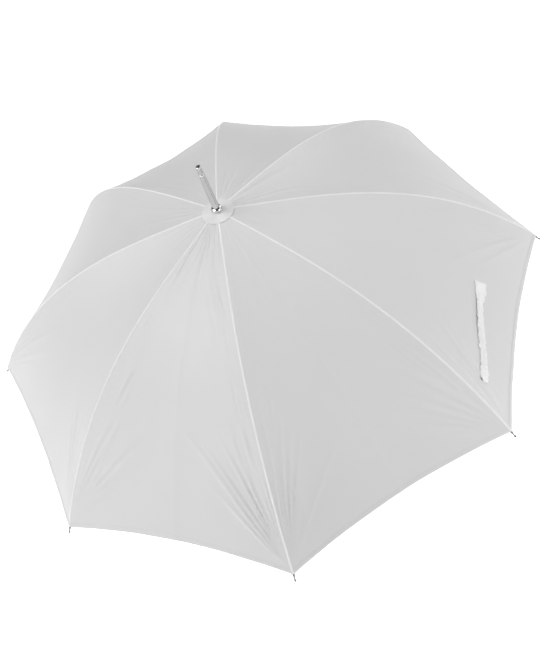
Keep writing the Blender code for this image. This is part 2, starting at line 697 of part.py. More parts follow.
def make_ribs(fabric, steel, tip_metal):
    inner, outer, stretcher = rib_inner_mesh(), rib_outer_mesh(), stretcher_mesh()
    tip, panel = tip_mesh(), panel_mesh()
    hinge = (NOTCH_PIVOT[0], 0, NOTCH_PIVOT[1])
    fold = (FOLD_PIVOT[0], 0, FOLD_PIVOT[1])
    pin = (STRETCHER_PIVOT[0], 0, STRETCHER_PIVOT[1])
    for i in range(PANELS):
        azimuth = STEP * i
        place(f"rib_{i + 1}_inner", inner, steel, hinge, azimuth)
        place(f"rib_{i + 1}_outer", outer, steel, fold, azimuth)
        place(f"stretcher_{i + 1}", stretcher, steel, pin, azimuth)
        place(f"rib_tip_{i + 1}", tip, tip_metal, fold, azimuth)
        place(f"canopy_panel_{i + 1}", panel, fabric, hinge, azimuth)


# Places that depend on the linkage

TOP_CATCH_Z = RUNNER_PIVOT[1] - SLEEVE_LENGTH - CATCH_GAP
BOTTOM_CATCH_Z = RUNNER_CLOSED_Z - SLEEVE_LENGTH + WINDOW[0] + CATCH_GAP
STOP_PIN_Z = RUNNER_PIVOT[1] + NECK_LENGTH + CATCH_GAP + STOP_PIN_R


def main():
    for obj in list(bpy.data.objects):
        bpy.data.objects.remove(obj)
    white_fabric = material("canopy_fabric", (0.90, 0.90, 0.89), 0.7)
    webbing = material("strap_webbing", (0.93, 0.93, 0.93), 0.85)
    steel = material("rib_steel", (0.60, 0.61, 0.62), 0.35, 1.0)
    tube_steel = material("shaft_steel", (0.75, 0.76, 0.77), 0.25, 1.0)
    chrome = material("chrome", (0.85, 0.86, 0.88), 0.12, 1.0)
    tip_metal = material("tip_metal", (0.28, 0.28, 0.29), 0.4, 1.0)
    plastic = material("white_plastic", (0.86, 0.86, 0.85), 0.45)
    wood = material("handle_wood", (0.62, 0.42, 0.24), 0.4)

    make_shaft(tube_steel)
    make_ferrule(chrome)
    make_rosette(white_fabric)
    make_notch(plastic, steel)
    make_runner(plastic, steel)
    make_catch("top_catch", steel, TOP_CATCH_Z, 1)
    make_catch("bottom_catch", steel, BOTTOM_CATCH_Z, -1)
    make_stop_pin(steel)
    make_handle(wood, chrome)
    make_ribs(white_fabric, steel, tip_metal)
    make_strap(webbing, webbing)


main()
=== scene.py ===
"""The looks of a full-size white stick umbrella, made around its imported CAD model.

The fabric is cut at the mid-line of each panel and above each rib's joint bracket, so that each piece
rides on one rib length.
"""
import math

import bpy
import numpy as np
from mathutils import Euler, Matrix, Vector


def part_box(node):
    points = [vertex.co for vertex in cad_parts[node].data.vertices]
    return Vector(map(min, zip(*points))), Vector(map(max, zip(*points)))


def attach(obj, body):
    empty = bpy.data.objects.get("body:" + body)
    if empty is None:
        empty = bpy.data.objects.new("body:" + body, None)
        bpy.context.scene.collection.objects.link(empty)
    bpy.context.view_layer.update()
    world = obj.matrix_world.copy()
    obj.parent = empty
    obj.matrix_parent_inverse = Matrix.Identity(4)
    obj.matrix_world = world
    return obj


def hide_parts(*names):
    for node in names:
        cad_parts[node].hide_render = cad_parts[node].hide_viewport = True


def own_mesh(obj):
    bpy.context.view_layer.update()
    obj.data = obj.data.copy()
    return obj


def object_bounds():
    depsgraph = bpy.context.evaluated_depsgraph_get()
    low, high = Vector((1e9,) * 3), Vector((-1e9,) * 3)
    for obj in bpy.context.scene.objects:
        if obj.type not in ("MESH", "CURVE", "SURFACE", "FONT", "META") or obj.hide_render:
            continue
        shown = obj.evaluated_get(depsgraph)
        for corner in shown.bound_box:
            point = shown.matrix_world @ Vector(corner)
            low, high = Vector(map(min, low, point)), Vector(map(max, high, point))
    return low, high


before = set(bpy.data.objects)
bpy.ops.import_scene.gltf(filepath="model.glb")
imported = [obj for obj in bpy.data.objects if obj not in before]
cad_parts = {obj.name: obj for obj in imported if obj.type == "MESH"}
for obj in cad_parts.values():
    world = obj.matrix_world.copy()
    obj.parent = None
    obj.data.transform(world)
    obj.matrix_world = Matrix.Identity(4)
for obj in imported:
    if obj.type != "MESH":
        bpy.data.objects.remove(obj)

cad_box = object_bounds()

# The canopy, with the same curve as the CAD model's
PANELS = 8
STEP = 2 * math.pi / PANELS
APEX_Z = 0.895
CANOPY_R = 0.600  # shaft axis to the hem at a rib
# Depth below the apex over CANOPY_R, by powers of radius over CANOPY_R
RIB_CURVE = (0.163, -0.150, 0.536, -0.050)
HEM_CURVE = 0.0184  # how far the hem curves in at mid-panel, as a share of the radius
HOLE_R = 0.009
JOINT_R = 0.330  # above the joint brackets, where each rib bends as it folds
RIB_DROP = 0.0034  # fabric's outer face to the rib's centre line
FABRIC = 0.0004
SAG_HEM, SAG_MIDDLE = 0.0027, 0.0112  # how far tension pulls the fabric in at mid-panel

# Tie strap on panel 1: fabric radius, and place across the panel from rib 1 (0) to rib 2 (1)
STRAP_FROM, STRAP_TO = (0.516, 0.576), (0.5455, 0.086)
STRAP_WIDTH, STRAP_ARCH = 0.026, 0.0012

# Camera
CAMERA_PLACE = (0.91200, -0.57377, 1.86315)
CAMERA_TURN = (35.585, 14.333, 38.557)
CAMERA_LENS = 41.2


# Mesh tools

def add_object(name, data):
    made = bpy.data.objects.new(name, data)
    bpy.context.scene.collection.objects.link(made)
    return made


def add_mesh(name, shape, finish, body, node=None, sharp=35):
    """A piece made from a shape's points and faces. It rides on its body, and may replace a CAD node."""
    points, faces = shape
    mesh = bpy.data.meshes.new(name)
    mesh.from_pydata([tuple(map(float, p)) for p in points], [], [tuple(map(int, f)) for f in faces])
    mesh.validate()
    mesh.shade_smooth()
    mesh.set_sharp_from_angle(angle=math.radians(sharp))
    mesh.materials.append(finish)
    piece = add_object(name, mesh)
    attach(piece, body)
    if node:
        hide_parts(node)
    return piece


def grid_faces(rows, columns, start=0, turn=False, closed=False):
    """The quads of a grid of points, row by row. A closed grid joins its last column to its first."""
    faces = []
    for row in range(rows - 1):
        for column in range(columns if closed else columns - 1):
            beside = (column + 1) % columns
            a = start + row * columns
            quad = (a + column, a + columns + column, a + columns + beside, a + beside)
            faces.append(quad[::-1] if turn else quad)
    return faces


def rim_faces(rows, columns, below):
    """The faces that close the edge between a grid and the same grid below it."""
    loop = [row * columns for row in range(rows)]
    loop += [(rows - 1) * columns + column for column in range(1, columns)]
    loop += [row * columns + columns - 1 for row in range(rows - 2, -1, -1)]
    loop += list(range(columns - 2, 0, -1))
    return [(j, i, i + below, j + below) for i, j in zip(loop, loop[1:] + loop[:1])]


def slab(top, under, turn=False):
    """Points and faces of a closed sheet between two grids of points, each of shape (rows, columns, 3)."""
    rows, columns = top.shape[:2]
    count = rows * columns
    points = np.concatenate([top.reshape(-1, 3), under.reshape(-1, 3)])
    faces = grid_faces(rows, columns)
    faces += grid_faces(rows, columns, count, turn=True)
    faces += rim_faces(rows, columns, count)
    if turn:
        faces = [face[::-1] for face in faces]
    return points, faces


def lathe(profile, centre=(0, 0, 0), axis=(0, 0, 1), sides=64, closed=False):
    """Points and faces of a profile of (radius, height) points turned about an axis."""
    up = Vector(axis).normalized()
    side = up.orthogonal().normalized()
    other = up.cross(side)
    points, rings = [], []
    for radius, height in profile:
        middle = Vector(centre) + up * height
        if radius == 0:
            rings.append([len(points)] * sides)
            points.append(middle)
            continue
        rings.append(list(range(len(points), len(points) + sides)))
        for i in range(sides):
            turn = 2 * math.pi * i / sides
            points.append(middle + (side * math.cos(turn) + other * math.sin(turn)) * radius)
    faces = []
    pairs = list(zip(rings, rings[1:]))
    if closed:
        pairs.append((rings[-1], rings[0]))
    for low, high in pairs:
        for i in range(sides):
            j = (i + 1) % sides
            faces.append(tuple(dict.fromkeys((low[i], low[j], high[j], high[i]))))
    return points, faces


def arc(centre, radius, start, end, spans=8):
    """Points along an arc, for a profile. Angles are in degrees, from the first coordinate's direction."""
    x, y = centre
    angles = [math.radians(start + (end - start) * i / spans) for i in range(spans + 1)]
    return [(x + radius * math.cos(a), y + radius * math.sin(a)) for a in angles]


def joined(parts):
    """Several lists of points and faces as one."""
    points, faces = [], []
    for some_points, some_faces in parts:
        start = len(points)
        points += [tuple(p) for p in some_points]
        faces += [tuple(i + start for i in face) for face in some_faces]
    return points, faces


def stitches(centres, ends, ups, thick):
    """Short lengths of thread that lie on a surface and dip into it at both ends."""
    centres, ends, ups = (np.asarray(a, float).reshape(-1, 3) for a in (centres, ends, ups))
    ahead = ends - centres
    side = np.cross(ahead, ups)
    side /= np.linalg.norm(side, axis=1, keepdims=True)
    rings = []
    for along, size in ((-1, 0.25), (-0.6, 0.85), (0, 1), (0.6, 0.85), (1, 0.25)):
        middle = centres + ahead * along + ups * thick * (size - 1) * 0.8
        for across, rise in ((1, 0), (0, 1), (-1, 0), (0, -1)):
            rings.append(middle + (side * across + ups * rise) * thick / 2 * size)
    points = np.stack(rings, 1).reshape(-1, 3)
    one = grid_faces(5, 4, closed=True, turn=True) + [(0, 1, 2, 3), (19, 18, 17, 16)]
    faces = [tuple(i + start for i in face) for start in range(0, len(points), 20) for face in one]
    return points, faces


# The canopy's surface

def fabric_z(radius):
    share = radius / CANOPY_R
    return APEX_Z - CANOPY_R * sum(c * share ** (n + 1) for n, c in enumerate(RIB_CURVE))


def fabric_fall(radius):
    """How much the fabric drops for each metre outwards."""
    share = radius / CANOPY_R
    return sum(c * (n + 1) * share**n for n, c in enumerate(RIB_CURVE))


def smooth(low, high, x):
    share = np.clip((x - low) / (high - low), 0, 1)
    return share * share * (3 - 2 * share)


def gore_width(radius):
    return 2 * radius * math.sin(STEP / 2)


def waves(random, count, lengths, x, y=None, slant=0.0):
    """A sum of cosine waves along x, some of them slanted towards y, with random lengths and phases."""
    total = np.zeros_like(x)
    for _ in range(count):
        length = random.uniform(*lengths)
        phase = random.uniform(0, 2 * math.pi)
        lean = random.uniform(-slant, slant)
        total += np.cos(2 * math.pi * (x + (0 if y is None else y * lean)) / length + phase)
    return total / math.sqrt(count)


# Folds that fan out from a rib's tip into the panel before (0) or after (1) the rib: how many there are,
# the two angles from the seam between which they lie, and their height
TIP_FANS = {
    (8, 0): (11, 0.03, 0.85, 0.0034), (8, 1): (9, 0.05, 0.80, 0.0026),
    (1, 0): (9, 0.22, 1.25, 0.0024), (1, 1): (6, 0.06, 0.60, 0.0018),
    (7, 0): (6, 0.08, 0.70, 0.0018), (7, 1): (8, 0.05, 0.85, 0.0024),
    (2, 0): (7, 0.25, 1.10, 0.0018),
}
PLAIN_FAN = (6, 0.08, 0.85, 0.0016)
APEX_FANS = {7: (10, 0.0016), 3: (6, 0.0016), 2: (6, 0.0009)}
PLAIN_APEX_FAN = (5, 0.0006)
# Long folds beside a seam, nearly in line with it: how many there are and their height
SEAM_FOLDS = {(8, 0): (20, 0.0014), (8, 1): (12, 0.0010), (7, 1): (10, 0.0009), (1, 0): (11, 0.0009)}
PLAIN_SEAM_FOLDS = (8, 0.0006)
# Short ripples across a seam where its thread is tight: their height, and the radii between which they lie
SEAM_RIPPLES = {(1, 1): (0.00080, 0.11, 0.33), (5, 0): (0.00080, 0.12, 0.33), (4, 1): (0.00035, 0.06, 0.50)}
PLAIN_RIPPLES = (0.00022, 0.08, 0.58)
CREASED = (7, 8)  # panels with a packing crease down the middle
CREASE_HEIGHT, CREASE_WIDTH, BROAD_FOLDS = 0.0010, 0.0040, 0.0006


def rays(random, count, angles, height, widths, reach, angle, away):
    """Narrow ridges that run out from a point, between two angles."""
    total = np.zeros(np.broadcast(angle, away).shape)
    for i in range(count):
        centre = angles[0] + (angles[1] - angles[0]) * (i + random.uniform(0.2, 0.8)) / count
        width = random.uniform(*widths) * (0.7 + 1.1 * centre)
        length = random.uniform(*reach)
        bend = random.uniform(-0.10, 0.16)
        tall = height * random.uniform(0.45, 1.0)
        ridge = np.exp(-(((angle - centre * (1 + bend * away / length)) / width) ** 2))
        rise = smooth(0.002, 0.010, away) * np.minimum(away / 0.075, 1.25)
        total += tall * ridge * rise * (1 - smooth(0.3 * length, length, away))
    return total


def seam_folds(random, count, height, radius, distance):
    """Narrow ridges beside a seam. They draw slightly closer to it towards the hem."""
    total = np.zeros(radius.shape)
    for _ in range(count):
        middle = random.uniform(0.16, 0.54)
        from_seam = random.uniform(0.006, 0.050)
        lean = random.uniform(-0.16, 0.02)
        width = random.uniform(0.0020, 0.0040)
        half_length = random.uniform(0.018, 0.055)
        tall = height * random.uniform(0.4, 1.0)
        along = radius - middle
        ridge = np.exp(-(((distance - from_seam - lean * along) / width) ** 2))
        total += tall * ridge * np.exp(-((along / half_length) ** 2))
    return total


def seam_ripple(rib, radius):
    """Height of the gathers in the seam itself."""
    random = np.random.default_rng(100 + rib)
    fade = smooth(0.02, 0.06, radius) * (1 - smooth(0.585, 0.600, radius))
    return 0.00010 * fade * waves(random, 4, (0.011, 0.024), radius)


def beside_seam(rib, side, radius, distance):
    """Height of the folds and ripples on one side of a seam."""
    random = np.random.default_rng(200 + 2 * rib + side)
    height = seam_ripple(rib, radius) * np.exp(-((distance / 0.008) ** 2))
    clear = smooth(0.0026, 0.0060, distance)
    tall, low, high = SEAM_RIPPLES.get((rib, side), PLAIN_RIPPLES)
    window = smooth(low, low + 0.05, radius) * (1 - smooth(high - 0.05, high, radius))
    ripple = waves(random, 3, (0.010, 0.016), radius, distance, 0.5)
    height += tall * window * ripple * clear * np.exp(-((distance / 0.026) ** 2))
    height += clear * seam_folds(random, *SEAM_FOLDS.get((rib, side), PLAIN_SEAM_FOLDS), radius, distance)
    from_hem = (CANOPY_R - radius) * 1.12
    away, angle = np.hypot(from_hem, distance), np.arctan2(distance, from_hem)
    count, first, last, tall = TIP_FANS.get((rib, side), PLAIN_FAN)
    height += clear * rays(random, count, (first, last), tall, (0.016, 0.042), (0.10, 0.28), angle, away)
    return height


def panel_height(panel, radius, across):
    """How far the fabric of a panel stands out from the straight lines between its ribs."""
    random = np.random.default_rng(300 + panel)
    width = gore_width(radius)
    near, far = across * width, (1 - across) * width
    bow = 4 * across * (1 - across)
    share = radius / CANOPY_R
    height = -bow * (SAG_HEM * share**1.5 + SAG_MIDDLE * 6.75 * share**2 * (1 - share))
    height += beside_seam(panel, 1, radius, near)
    height += beside_seam(panel % PANELS + 1, 0, radius, far)
    middle = (across - 0.5) * width
    broad = waves(random, 4, (0.09, 0.22), middle, radius, 0.35)
    height += BROAD_FOLDS * bow * smooth(0.10, 0.40, radius) * broad
    count, tall = APEX_FANS.get(panel, PLAIN_APEX_FAN)
    fan = rays(random, count, (0.06, STEP - 0.06), tall, (0.014, 0.030), (0.10, 0.30), across * STEP, radius)
    height += smooth(0.0, 0.08, across) * smooth(0.0, 0.08, 1 - across) * fan
    if panel in CREASED:
        crease = np.exp(-np.abs(middle + 0.003 * np.sin(radius * 9)) / CREASE_WIDTH)
        height += CREASE_HEIGHT * crease * smooth(0.10, 0.20, radius)
    return height


def panel_surface(panel, radius, across, lift=0.0):
    """Points on a panel's outer face, or above it by the lift. The arguments may be arrays."""
    radius, across = np.broadcast_arrays(np.asarray(radius, float), np.asarray(across, float))
    place, normal = panel_base(panel, radius, across)
    height = panel_height(panel, radius, across) + lift
    return place + normal * height[..., None]


def panel_base(panel, radius, across):
    """Points on the straight lines between a panel's ribs, and the normals there."""
    start, end = STEP * (panel - 1), STEP * panel
    lead_x = (1 - across) * math.cos(start) + across * math.cos(end)
    lead_y = (1 - across) * math.sin(start) + across * math.sin(end)
    place = np.stack([radius * lead_x, radius * lead_y, fabric_z(radius)], -1)
    outwards = np.stack([lead_x, lead_y, -fabric_fall(radius)], -1)
    sideways = np.array([math.cos(end) - math.cos(start), math.sin(end) - math.sin(start), 0.0])
    normal = np.cross(outwards, sideways)
    return place, normal / np.linalg.norm(normal, axis=-1, keepdims=True)


def surface_normal(panel, radius, across):
    """The panel's own normal at a place, with its folds."""
    step_out = 0.0008
    step_side = step_out / gore_width(radius)
    out = panel_surface(panel, radius + step_out, across) - panel_surface(panel, radius - step_out, across)
    side = panel_surface(panel, radius, across + step_side) - panel_surface(panel, radius, across - step_side)
    normal = np.cross(out, side)
    return normal / np.linalg.norm(normal, axis=-1, keepdims=True)


def hem_radius(across):
    return CANOPY_R * (1 - HEM_CURVE * 4 * across * (1 - across))


def joint_radius(across):
    """The radius of the cut above a rib's joint bracket. Across is measured from that rib."""
    return JOINT_R / (1 - across + across * math.cos(STEP))


# Materials

def grey(level):
    return level, level, level


class Nodes:
    """A material's node tree, with short calls to build it."""

    def __init__(self, name):
        self.material = bpy.data.materials.new(name)
        self.material.use_nodes = True
        self.tree = self.material.node_tree
        self.shader = self.tree.nodes["Principled BSDF"]
        self.output = self.tree.nodes["Material Output"]
        self.place = self.add("ShaderNodeTexCoord").outputs["Object"]

    def add(self, kind, **settings):
        node = self.tree.nodes.new(kind)
        for key, value in settings.items():
            setattr(node, key, value)
        return node

    def link(self, start, end):
        self.tree.links.new(start, end)

    def scaled(self, scale):
        mapping = self.add("ShaderNodeMapping")
        mapping.inputs["Scale"].default_value = scale
        self.link(self.place, mapping.inputs["Vector"])
        return mapping.outputs["Vector"]

    def noise(self, scale, detail=3.0, roughness=0.5, place=None):
        node = self.add("ShaderNodeTexNoise")
        node.inputs["Scale"].default_value = scale
        node.inputs["Detail"].default_value = detail
        node.inputs["Roughness"].default_value = roughness
        self.link(place or self.place, node.inputs["Vector"])
        return node.outputs["Fac"]

    def bands(self, scale, direction, distortion=0.0, place=None, profile="SIN"):
        node = self.add("ShaderNodeTexWave", bands_direction=direction, wave_profile=profile)
        node.inputs["Scale"].default_value = scale
        node.inputs["Distortion"].default_value = distortion
        self.link(place or self.place, node.inputs["Vector"])
        return node.outputs["Fac"]

    def range(self, value, low, high, start=0.0, end=1.0):
        node = self.add("ShaderNodeMapRange")
        self.link(value, node.inputs["Value"])
        for name, number in (("From Min", start), ("From Max", end), ("To Min", low), ("To Max", high)):
            node.inputs[name].default_value = number
        return node.outputs["Result"]

    def maths(self, operation, first, second):
        node = self.add("ShaderNodeMath", operation=operation)
        for socket, value in zip(node.inputs, (first, second)):
            if isinstance(value, (int, float)):
                socket.default_value = value
            else:
                self.link(value, socket)
        return node.outputs["Value"]

    def colour(self, value, low, high):
        node = self.add("ShaderNodeValToRGB")
        for element, position, colour in zip(node.color_ramp.elements, (0.25, 0.75), (low, high)):
            element.position = position
            element.color = (*colour, 1)
        self.link(value, node.inputs["Fac"])
        self.link(node.outputs["Color"], self.shader.inputs["Base Color"])

    def roughness(self, value, low, high):
        self.link(self.range(value, low, high, 0.25, 0.75), self.shader.inputs["Roughness"])

    def bump(self, height, distance, strength=1.0, onto=None):
        node = self.add("ShaderNodeBump")
        node.inputs["Distance"].default_value = distance
        node.inputs["Strength"].default_value = strength
        self.link(height, node.inputs["Height"])
        if onto is not None:
            self.link(onto, node.inputs["Normal"])
        return node.outputs["Normal"]

    def finish(self, normal=None, **numbers):
        if normal is not None:
            self.link(normal, self.shader.inputs["Normal"])
        for name, value in numbers.items():
            self.shader.inputs[name.replace("_", " ").title().replace("Ior", "IOR")].default_value = value
        return self.material

    def let_through(self, share, colour):
        """Mixes in light that comes through from behind."""
        behind = self.add("ShaderNodeBsdfTranslucent")
        behind.inputs["Color"].default_value = (*colour, 1)
        mix = self.add("ShaderNodeMixShader")
        mix.inputs["Fac"].default_value = share
        self.link(self.shader.outputs["BSDF"], mix.inputs[1])
        self.link(behind.outputs["BSDF"], mix.inputs[2])
        self.link(mix.outputs["Shader"], self.output.inputs["Surface"])

    def weave(self):
        """Height of a fine plain weave."""
        return self.maths("MULTIPLY", self.bands(520, "X"), self.bands(520, "Y"))


def pongee():
    """Thin white polyester: a tight plain weave, a soft sheen, and faint crinkles."""
    n = Nodes("white_pongee")
    cloudy = n.noise(4.0, 4)
    threads = n.noise(900, 2)
    n.colour(n.maths("ADD", n.maths("MULTIPLY", cloudy, 0.5), n.maths("MULTIPLY", threads, 0.5)),
             (0.768, 0.767, 0.767), (0.807, 0.806, 0.806))
    n.roughness(n.noise(35, 3), 0.42, 0.52)
    weave = n.weave()
    crinkle = n.noise(70, 3, 0.55)
    normal = n.bump(weave, 0.00006, 0.5, onto=n.bump(crinkle, 0.0006, 0.35))
    n.let_through(0.08, grey(0.88))
    return n.finish(normal, sheen_weight=0.10, sheen_roughness=0.4, specular_ior_level=0.55)


def doubled_pongee(name, dark, light):
    """The same fabric where it lies double: it lets no light through and looks paler."""
    n = Nodes(name)
    n.colour(n.noise(300, 3), dark, light)
    n.roughness(n.noise(60, 3), 0.46, 0.58)
    weave = n.weave()
    normal = n.bump(weave, 0.00006, 0.5, onto=n.bump(n.noise(160, 3), 0.0005, 0.4))
    return n.finish(normal, sheen_weight=0.12, sheen_roughness=0.4, specular_ior_level=0.35)


def thread_finish():
    n = Nodes("polyester_thread")
    n.colour(n.noise(2500, 2), grey(0.80), grey(0.92))
    n.roughness(n.noise(900, 2), 0.45, 0.6)
    return n.finish(n.bump(n.bands(1800, "DIAGONAL"), 0.00005, 0.6), sheen_weight=0.2)


def webbing():
    """Bright white woven strap."""
    n = Nodes("strap_webbing")
    n.colour(n.noise(500, 3), grey(0.93), grey(0.98))
    n.roughness(n.noise(200, 3), 0.5, 0.65)
    twill = n.bands(900, "DIAGONAL", 1.0)
    normal = n.bump(n.noise(260, 3), 0.0006, 0.6, onto=n.bump(twill, 0.00012, 0.6))
    return n.finish(normal, sheen_weight=0.45, sheen_roughness=0.5)


def metal(name, dark, light, rough, brushed=0.0, scale=40, along=(1, 1, 1)):
    """A metal with fine streaks and small changes in its shine."""
    n = Nodes(name)
    streaks = n.noise(scale, 5, 0.6, n.scaled(along))
    n.colour(streaks, dark, light)
    n.roughness(n.noise(scale * 2.3, 4, 0.6, n.scaled(along)), *rough)
    normal = n.bump(n.noise(scale * 12, 3, 0.6, n.scaled(along)), 0.00004, brushed) if brushed else None
    return n.finish(normal, metallic=1.0, specular_tint=(0.35, 0.35, 0.36, 1))


def white_plastic():
    n = Nodes("white_plastic")
    n.colour(n.noise(60, 3), (0.78, 0.78, 0.77), (0.84, 0.84, 0.83))
    n.roughness(n.noise(150, 3), 0.32, 0.46)
    return n.finish(n.bump(n.noise(1400, 2), 0.00004, 0.4), specular_ior_level=0.5)


def turned_wood():
    """Lacquered beech: long grain with short darker flecks."""
    n = Nodes("lacquered_wood")
    grain = n.bands(9, "X", 6.0, n.scaled((9, 9, 0.7)), "SAW")
    flecks = n.noise(60, 5, 0.65, n.scaled((9, 9, 0.9)))
    both = n.maths("ADD", n.maths("MULTIPLY", grain, 0.45), n.maths("MULTIPLY", flecks, 0.6))
    n.colour(both, (0.50, 0.27, 0.12), (0.66, 0.42, 0.22))
    n.roughness(flecks, 0.22, 0.32)
    return n.finish(n.bump(flecks, 0.00008, 0.3), coat_weight=0.5, coat_roughness=0.12)


def floor_finish():
    n = Nodes("studio_floor")
    n.colour(n.noise(2.0, 2), grey(0.90), grey(0.92))
    return n.finish(roughness=0.9, emission_color=(1, 1, 1, 1), emission_strength=0.80)


CLOTH = pongee()
DOUBLED = doubled_pongee("seam_pongee", grey(0.90), grey(0.94))
ROSETTE = doubled_pongee("rosette_pongee", grey(0.81), grey(0.85))
THREAD = thread_finish()
WEBBING = webbing()
CHROME = metal("polished_chrome", (0.80, 0.80, 0.81), (0.88, 0.88, 0.89), (0.04, 0.09), scale=30)
SATIN = metal("satin_chrome", (0.74, 0.74, 0.75), (0.82, 0.82, 0.83), (0.05, 0.10), 0.08, 60, (1, 1, 12))
RIB_METAL = metal("rib_aluminium", (0.60, 0.61, 0.63), (0.70, 0.71, 0.73), (0.28, 0.42), 0.4, 50)
TIP_METAL = metal("dark_steel", (0.20, 0.20, 0.21), (0.34, 0.34, 0.35), (0.28, 0.42), 0.4, 120)
SPRING = metal("spring_steel", (0.42, 0.42, 0.43), (0.55, 0.55, 0.56), (0.25, 0.4), 0.3, 90)
PLASTIC = white_plastic()
WOOD = turned_wood()


# The canopy's pieces

# Row spacing, and columns from the rib to the mid-line
GRIDS = {"inner": (0.0042, 30), "outer": (0.0024, 60)}
BODY = {"inner": "rib_{}", "outer": "rib_end_{}"}
SEAM_HALF = 0.0020
# The seam's section: share of its half width, and height over the fabric's outer face
SEAM_SECTION = (
    (-1.0, -0.0001), (-0.92, 0.0003), (-0.5, 0.0005), (0, 0.0007),
    (0.5, 0.0005), (0.92, 0.0003), (1.0, -0.0001),
)
SEAM_UNDER = -0.0008  # its inner face
SEAM_ROWS = (-0.0012, 0.0012)  # its two rows of stitches
SEAM_STITCH_FROM = 0.045  # radius where they start
STITCH_PITCH, STITCH_HALF, STITCH_THICK = 0.0032, 0.0013, 0.00042
HEM_WIDTH, HEM_STITCH = 0.0065, 0.0013  # the stitches lie this far from the hem's inner edge
# The hem's section: distance in from the hem's edge, and height over the fabric's outer face
HEM_SECTION = (
    (-0.0003, -0.0002), (-0.0001, 0.0002), (0.0030, 0.0003), (HEM_WIDTH - 0.0003, 0.0002),
    (HEM_WIDTH, -0.0001), (HEM_WIDTH, -0.0005), (HEM_WIDTH - 0.0003, -0.0010),
    (0.0030, -0.0011), (-0.0001, -0.0010), (-0.0003, -0.0006),
)


def half_panel_grid(near_side, part):
    """Radii and places across for one length of one half panel, from the rib (column 0) to the mid-line."""
    row, columns = GRIDS[part]
    from_rib = 0.5 * np.linspace(0, 1, columns) ** 1.4
    across = from_rib if near_side else 1 - from_rib
    cut = joint_radius(from_rib)
    low, high = (np.full(columns, HOLE_R), cut) if part == "inner" else (cut, hem_radius(across))
    rows = math.ceil(float(np.max(high - low)) / row) + 1
    step = np.linspace(0, 1, rows)[:, None]
    return low + (high - low) * step, np.broadcast_to(across, (rows, columns))


def fold_with(piece):
    """Gives the piece its own copy of its mesh."""
    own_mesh(piece)


def make_fabric(panel, rib, near_side, part, on_it):
    """One length of half a panel, sewn to a rib: the panel's first one on its near side."""
    radius, across = half_panel_grid(near_side, part)
    place, normal = panel_base(panel, radius, across)
    top = place + normal * panel_height(panel, radius, across)[..., None]
    sheet = slab(top, top - normal * FABRIC, turn=not near_side)
    name, node = f"panel_{panel}_at_rib_{rib}_{part}", f"canopy_panel_{panel}"
    piece = add_mesh(name, sheet, CLOTH, BODY[part].format(rib), node)
    fold_with(piece)


def make_hem(panel, rib, near_side):
    """The folded hem of half a panel, and its row of stitches."""
    from_rib = np.linspace(0.0, 0.5, 60)
    across = from_rib if near_side else 1 - from_rib
    edge = hem_radius(across)
    lines = [panel_surface(panel, edge - inwards, across, height) for inwards, height in HEM_SECTION]
    grid = np.stack(lines, 1)
    rows, count = grid.shape[:2]
    faces = grid_faces(rows, count, closed=True, turn=near_side)
    ends = [tuple(range(count)), tuple(range((rows - 1) * count, rows * count))[::-1]]
    faces += [end[::-1] if near_side else end for end in ends]
    body = f"rib_end_{rib}"
    shape = grid.reshape(-1, 3), faces
    hem = add_mesh(f"hem_{panel}_at_rib_{rib}", shape, CLOTH, body, sharp=60)
    fold_with(hem)
    width = gore_width(CANOPY_R)
    place = (np.arange(int(width / 2 / STITCH_PITCH)) + 0.5) * STITCH_PITCH / width
    place = place if near_side else 1 - place
    ahead = place + STITCH_HALF / width
    inwards = HEM_WIDTH - HEM_STITCH
    here = panel_surface(panel, hem_radius(place) - inwards, place, 0.0003)
    end = panel_surface(panel, hem_radius(ahead) - inwards, ahead, 0.0003)
    ups = panel_base(panel, hem_radius(place) - inwards, place)[1]
    row = stitches(here, end, ups, STITCH_THICK)
    thread = add_mesh(f"hem_thread_{panel}_at_rib_{rib}", row, THREAD, body)
    fold_with(thread)
    return [hem, thread]


def beside(rib, radii, offset, lift=0.0):
    """Points at an offset from a rib's seam towards the next rib, and the panel's normals there."""
    share = abs(offset) / gore_width(radii)
    panel, across = (rib, share) if offset >= 0 else ((rib - 2) % PANELS + 1, 1 - share)
    return panel_surface(panel, radii, across, lift), panel_base(panel, radii, across)[1]


def make_seam(rib, part):
    """The felled seam over a rib: a folded strip with two rows of stitches."""
    low, high = (HOLE_R + 0.002, JOINT_R) if part == "inner" else (JOINT_R, CANOPY_R - 0.0006)
    radii = np.linspace(low, high, math.ceil((high - low) / 0.003) + 1)
    top = np.stack([beside(rib, radii, offset * SEAM_HALF, rise)[0] for offset, rise in SEAM_SECTION], 1)
    under = np.stack([beside(rib, radii, offset * SEAM_HALF, SEAM_UNDER)[0] for offset, _ in SEAM_SECTION], 1)
    body = BODY[part].format(rib)
    add_mesh(f"seam_{rib}_{part}", slab(top, under), DOUBLED, body)
    radii = np.arange(max(low, SEAM_STITCH_FROM), high - STITCH_PITCH, STITCH_PITCH) + STITCH_PITCH / 2
    rows = []
    for offset in SEAM_ROWS:
        here, ups = beside(rib, radii, offset, 0.0005)
        end = beside(rib, radii + STITCH_HALF, offset, 0.0005)[0]
        rows.append(stitches(here, end, ups, STITCH_THICK))
    add_mesh(f"seam_thread_{rib}_{part}", joined(rows), THREAD, body)


def make_canopy():
    for panel in range(1, PANELS + 1):
        for rib, near_side in ((panel, True), (panel % PANELS + 1, False)):
            make_fabric(panel, rib, near_side, "inner", [])
            make_fabric(panel, rib, near_side, "outer", make_hem(panel, rib, near_side))
    for rib in range(1, PANELS + 1):
        make_seam(rib, "inner")
        make_seam(rib, "outer")


make_canopy()


# Top: rosette, cup and ferrule

ROSETTE_INNER, ROSETTE_OUTER, ROSETTE_THICK = 0.0078, 0.0320, 0.0006


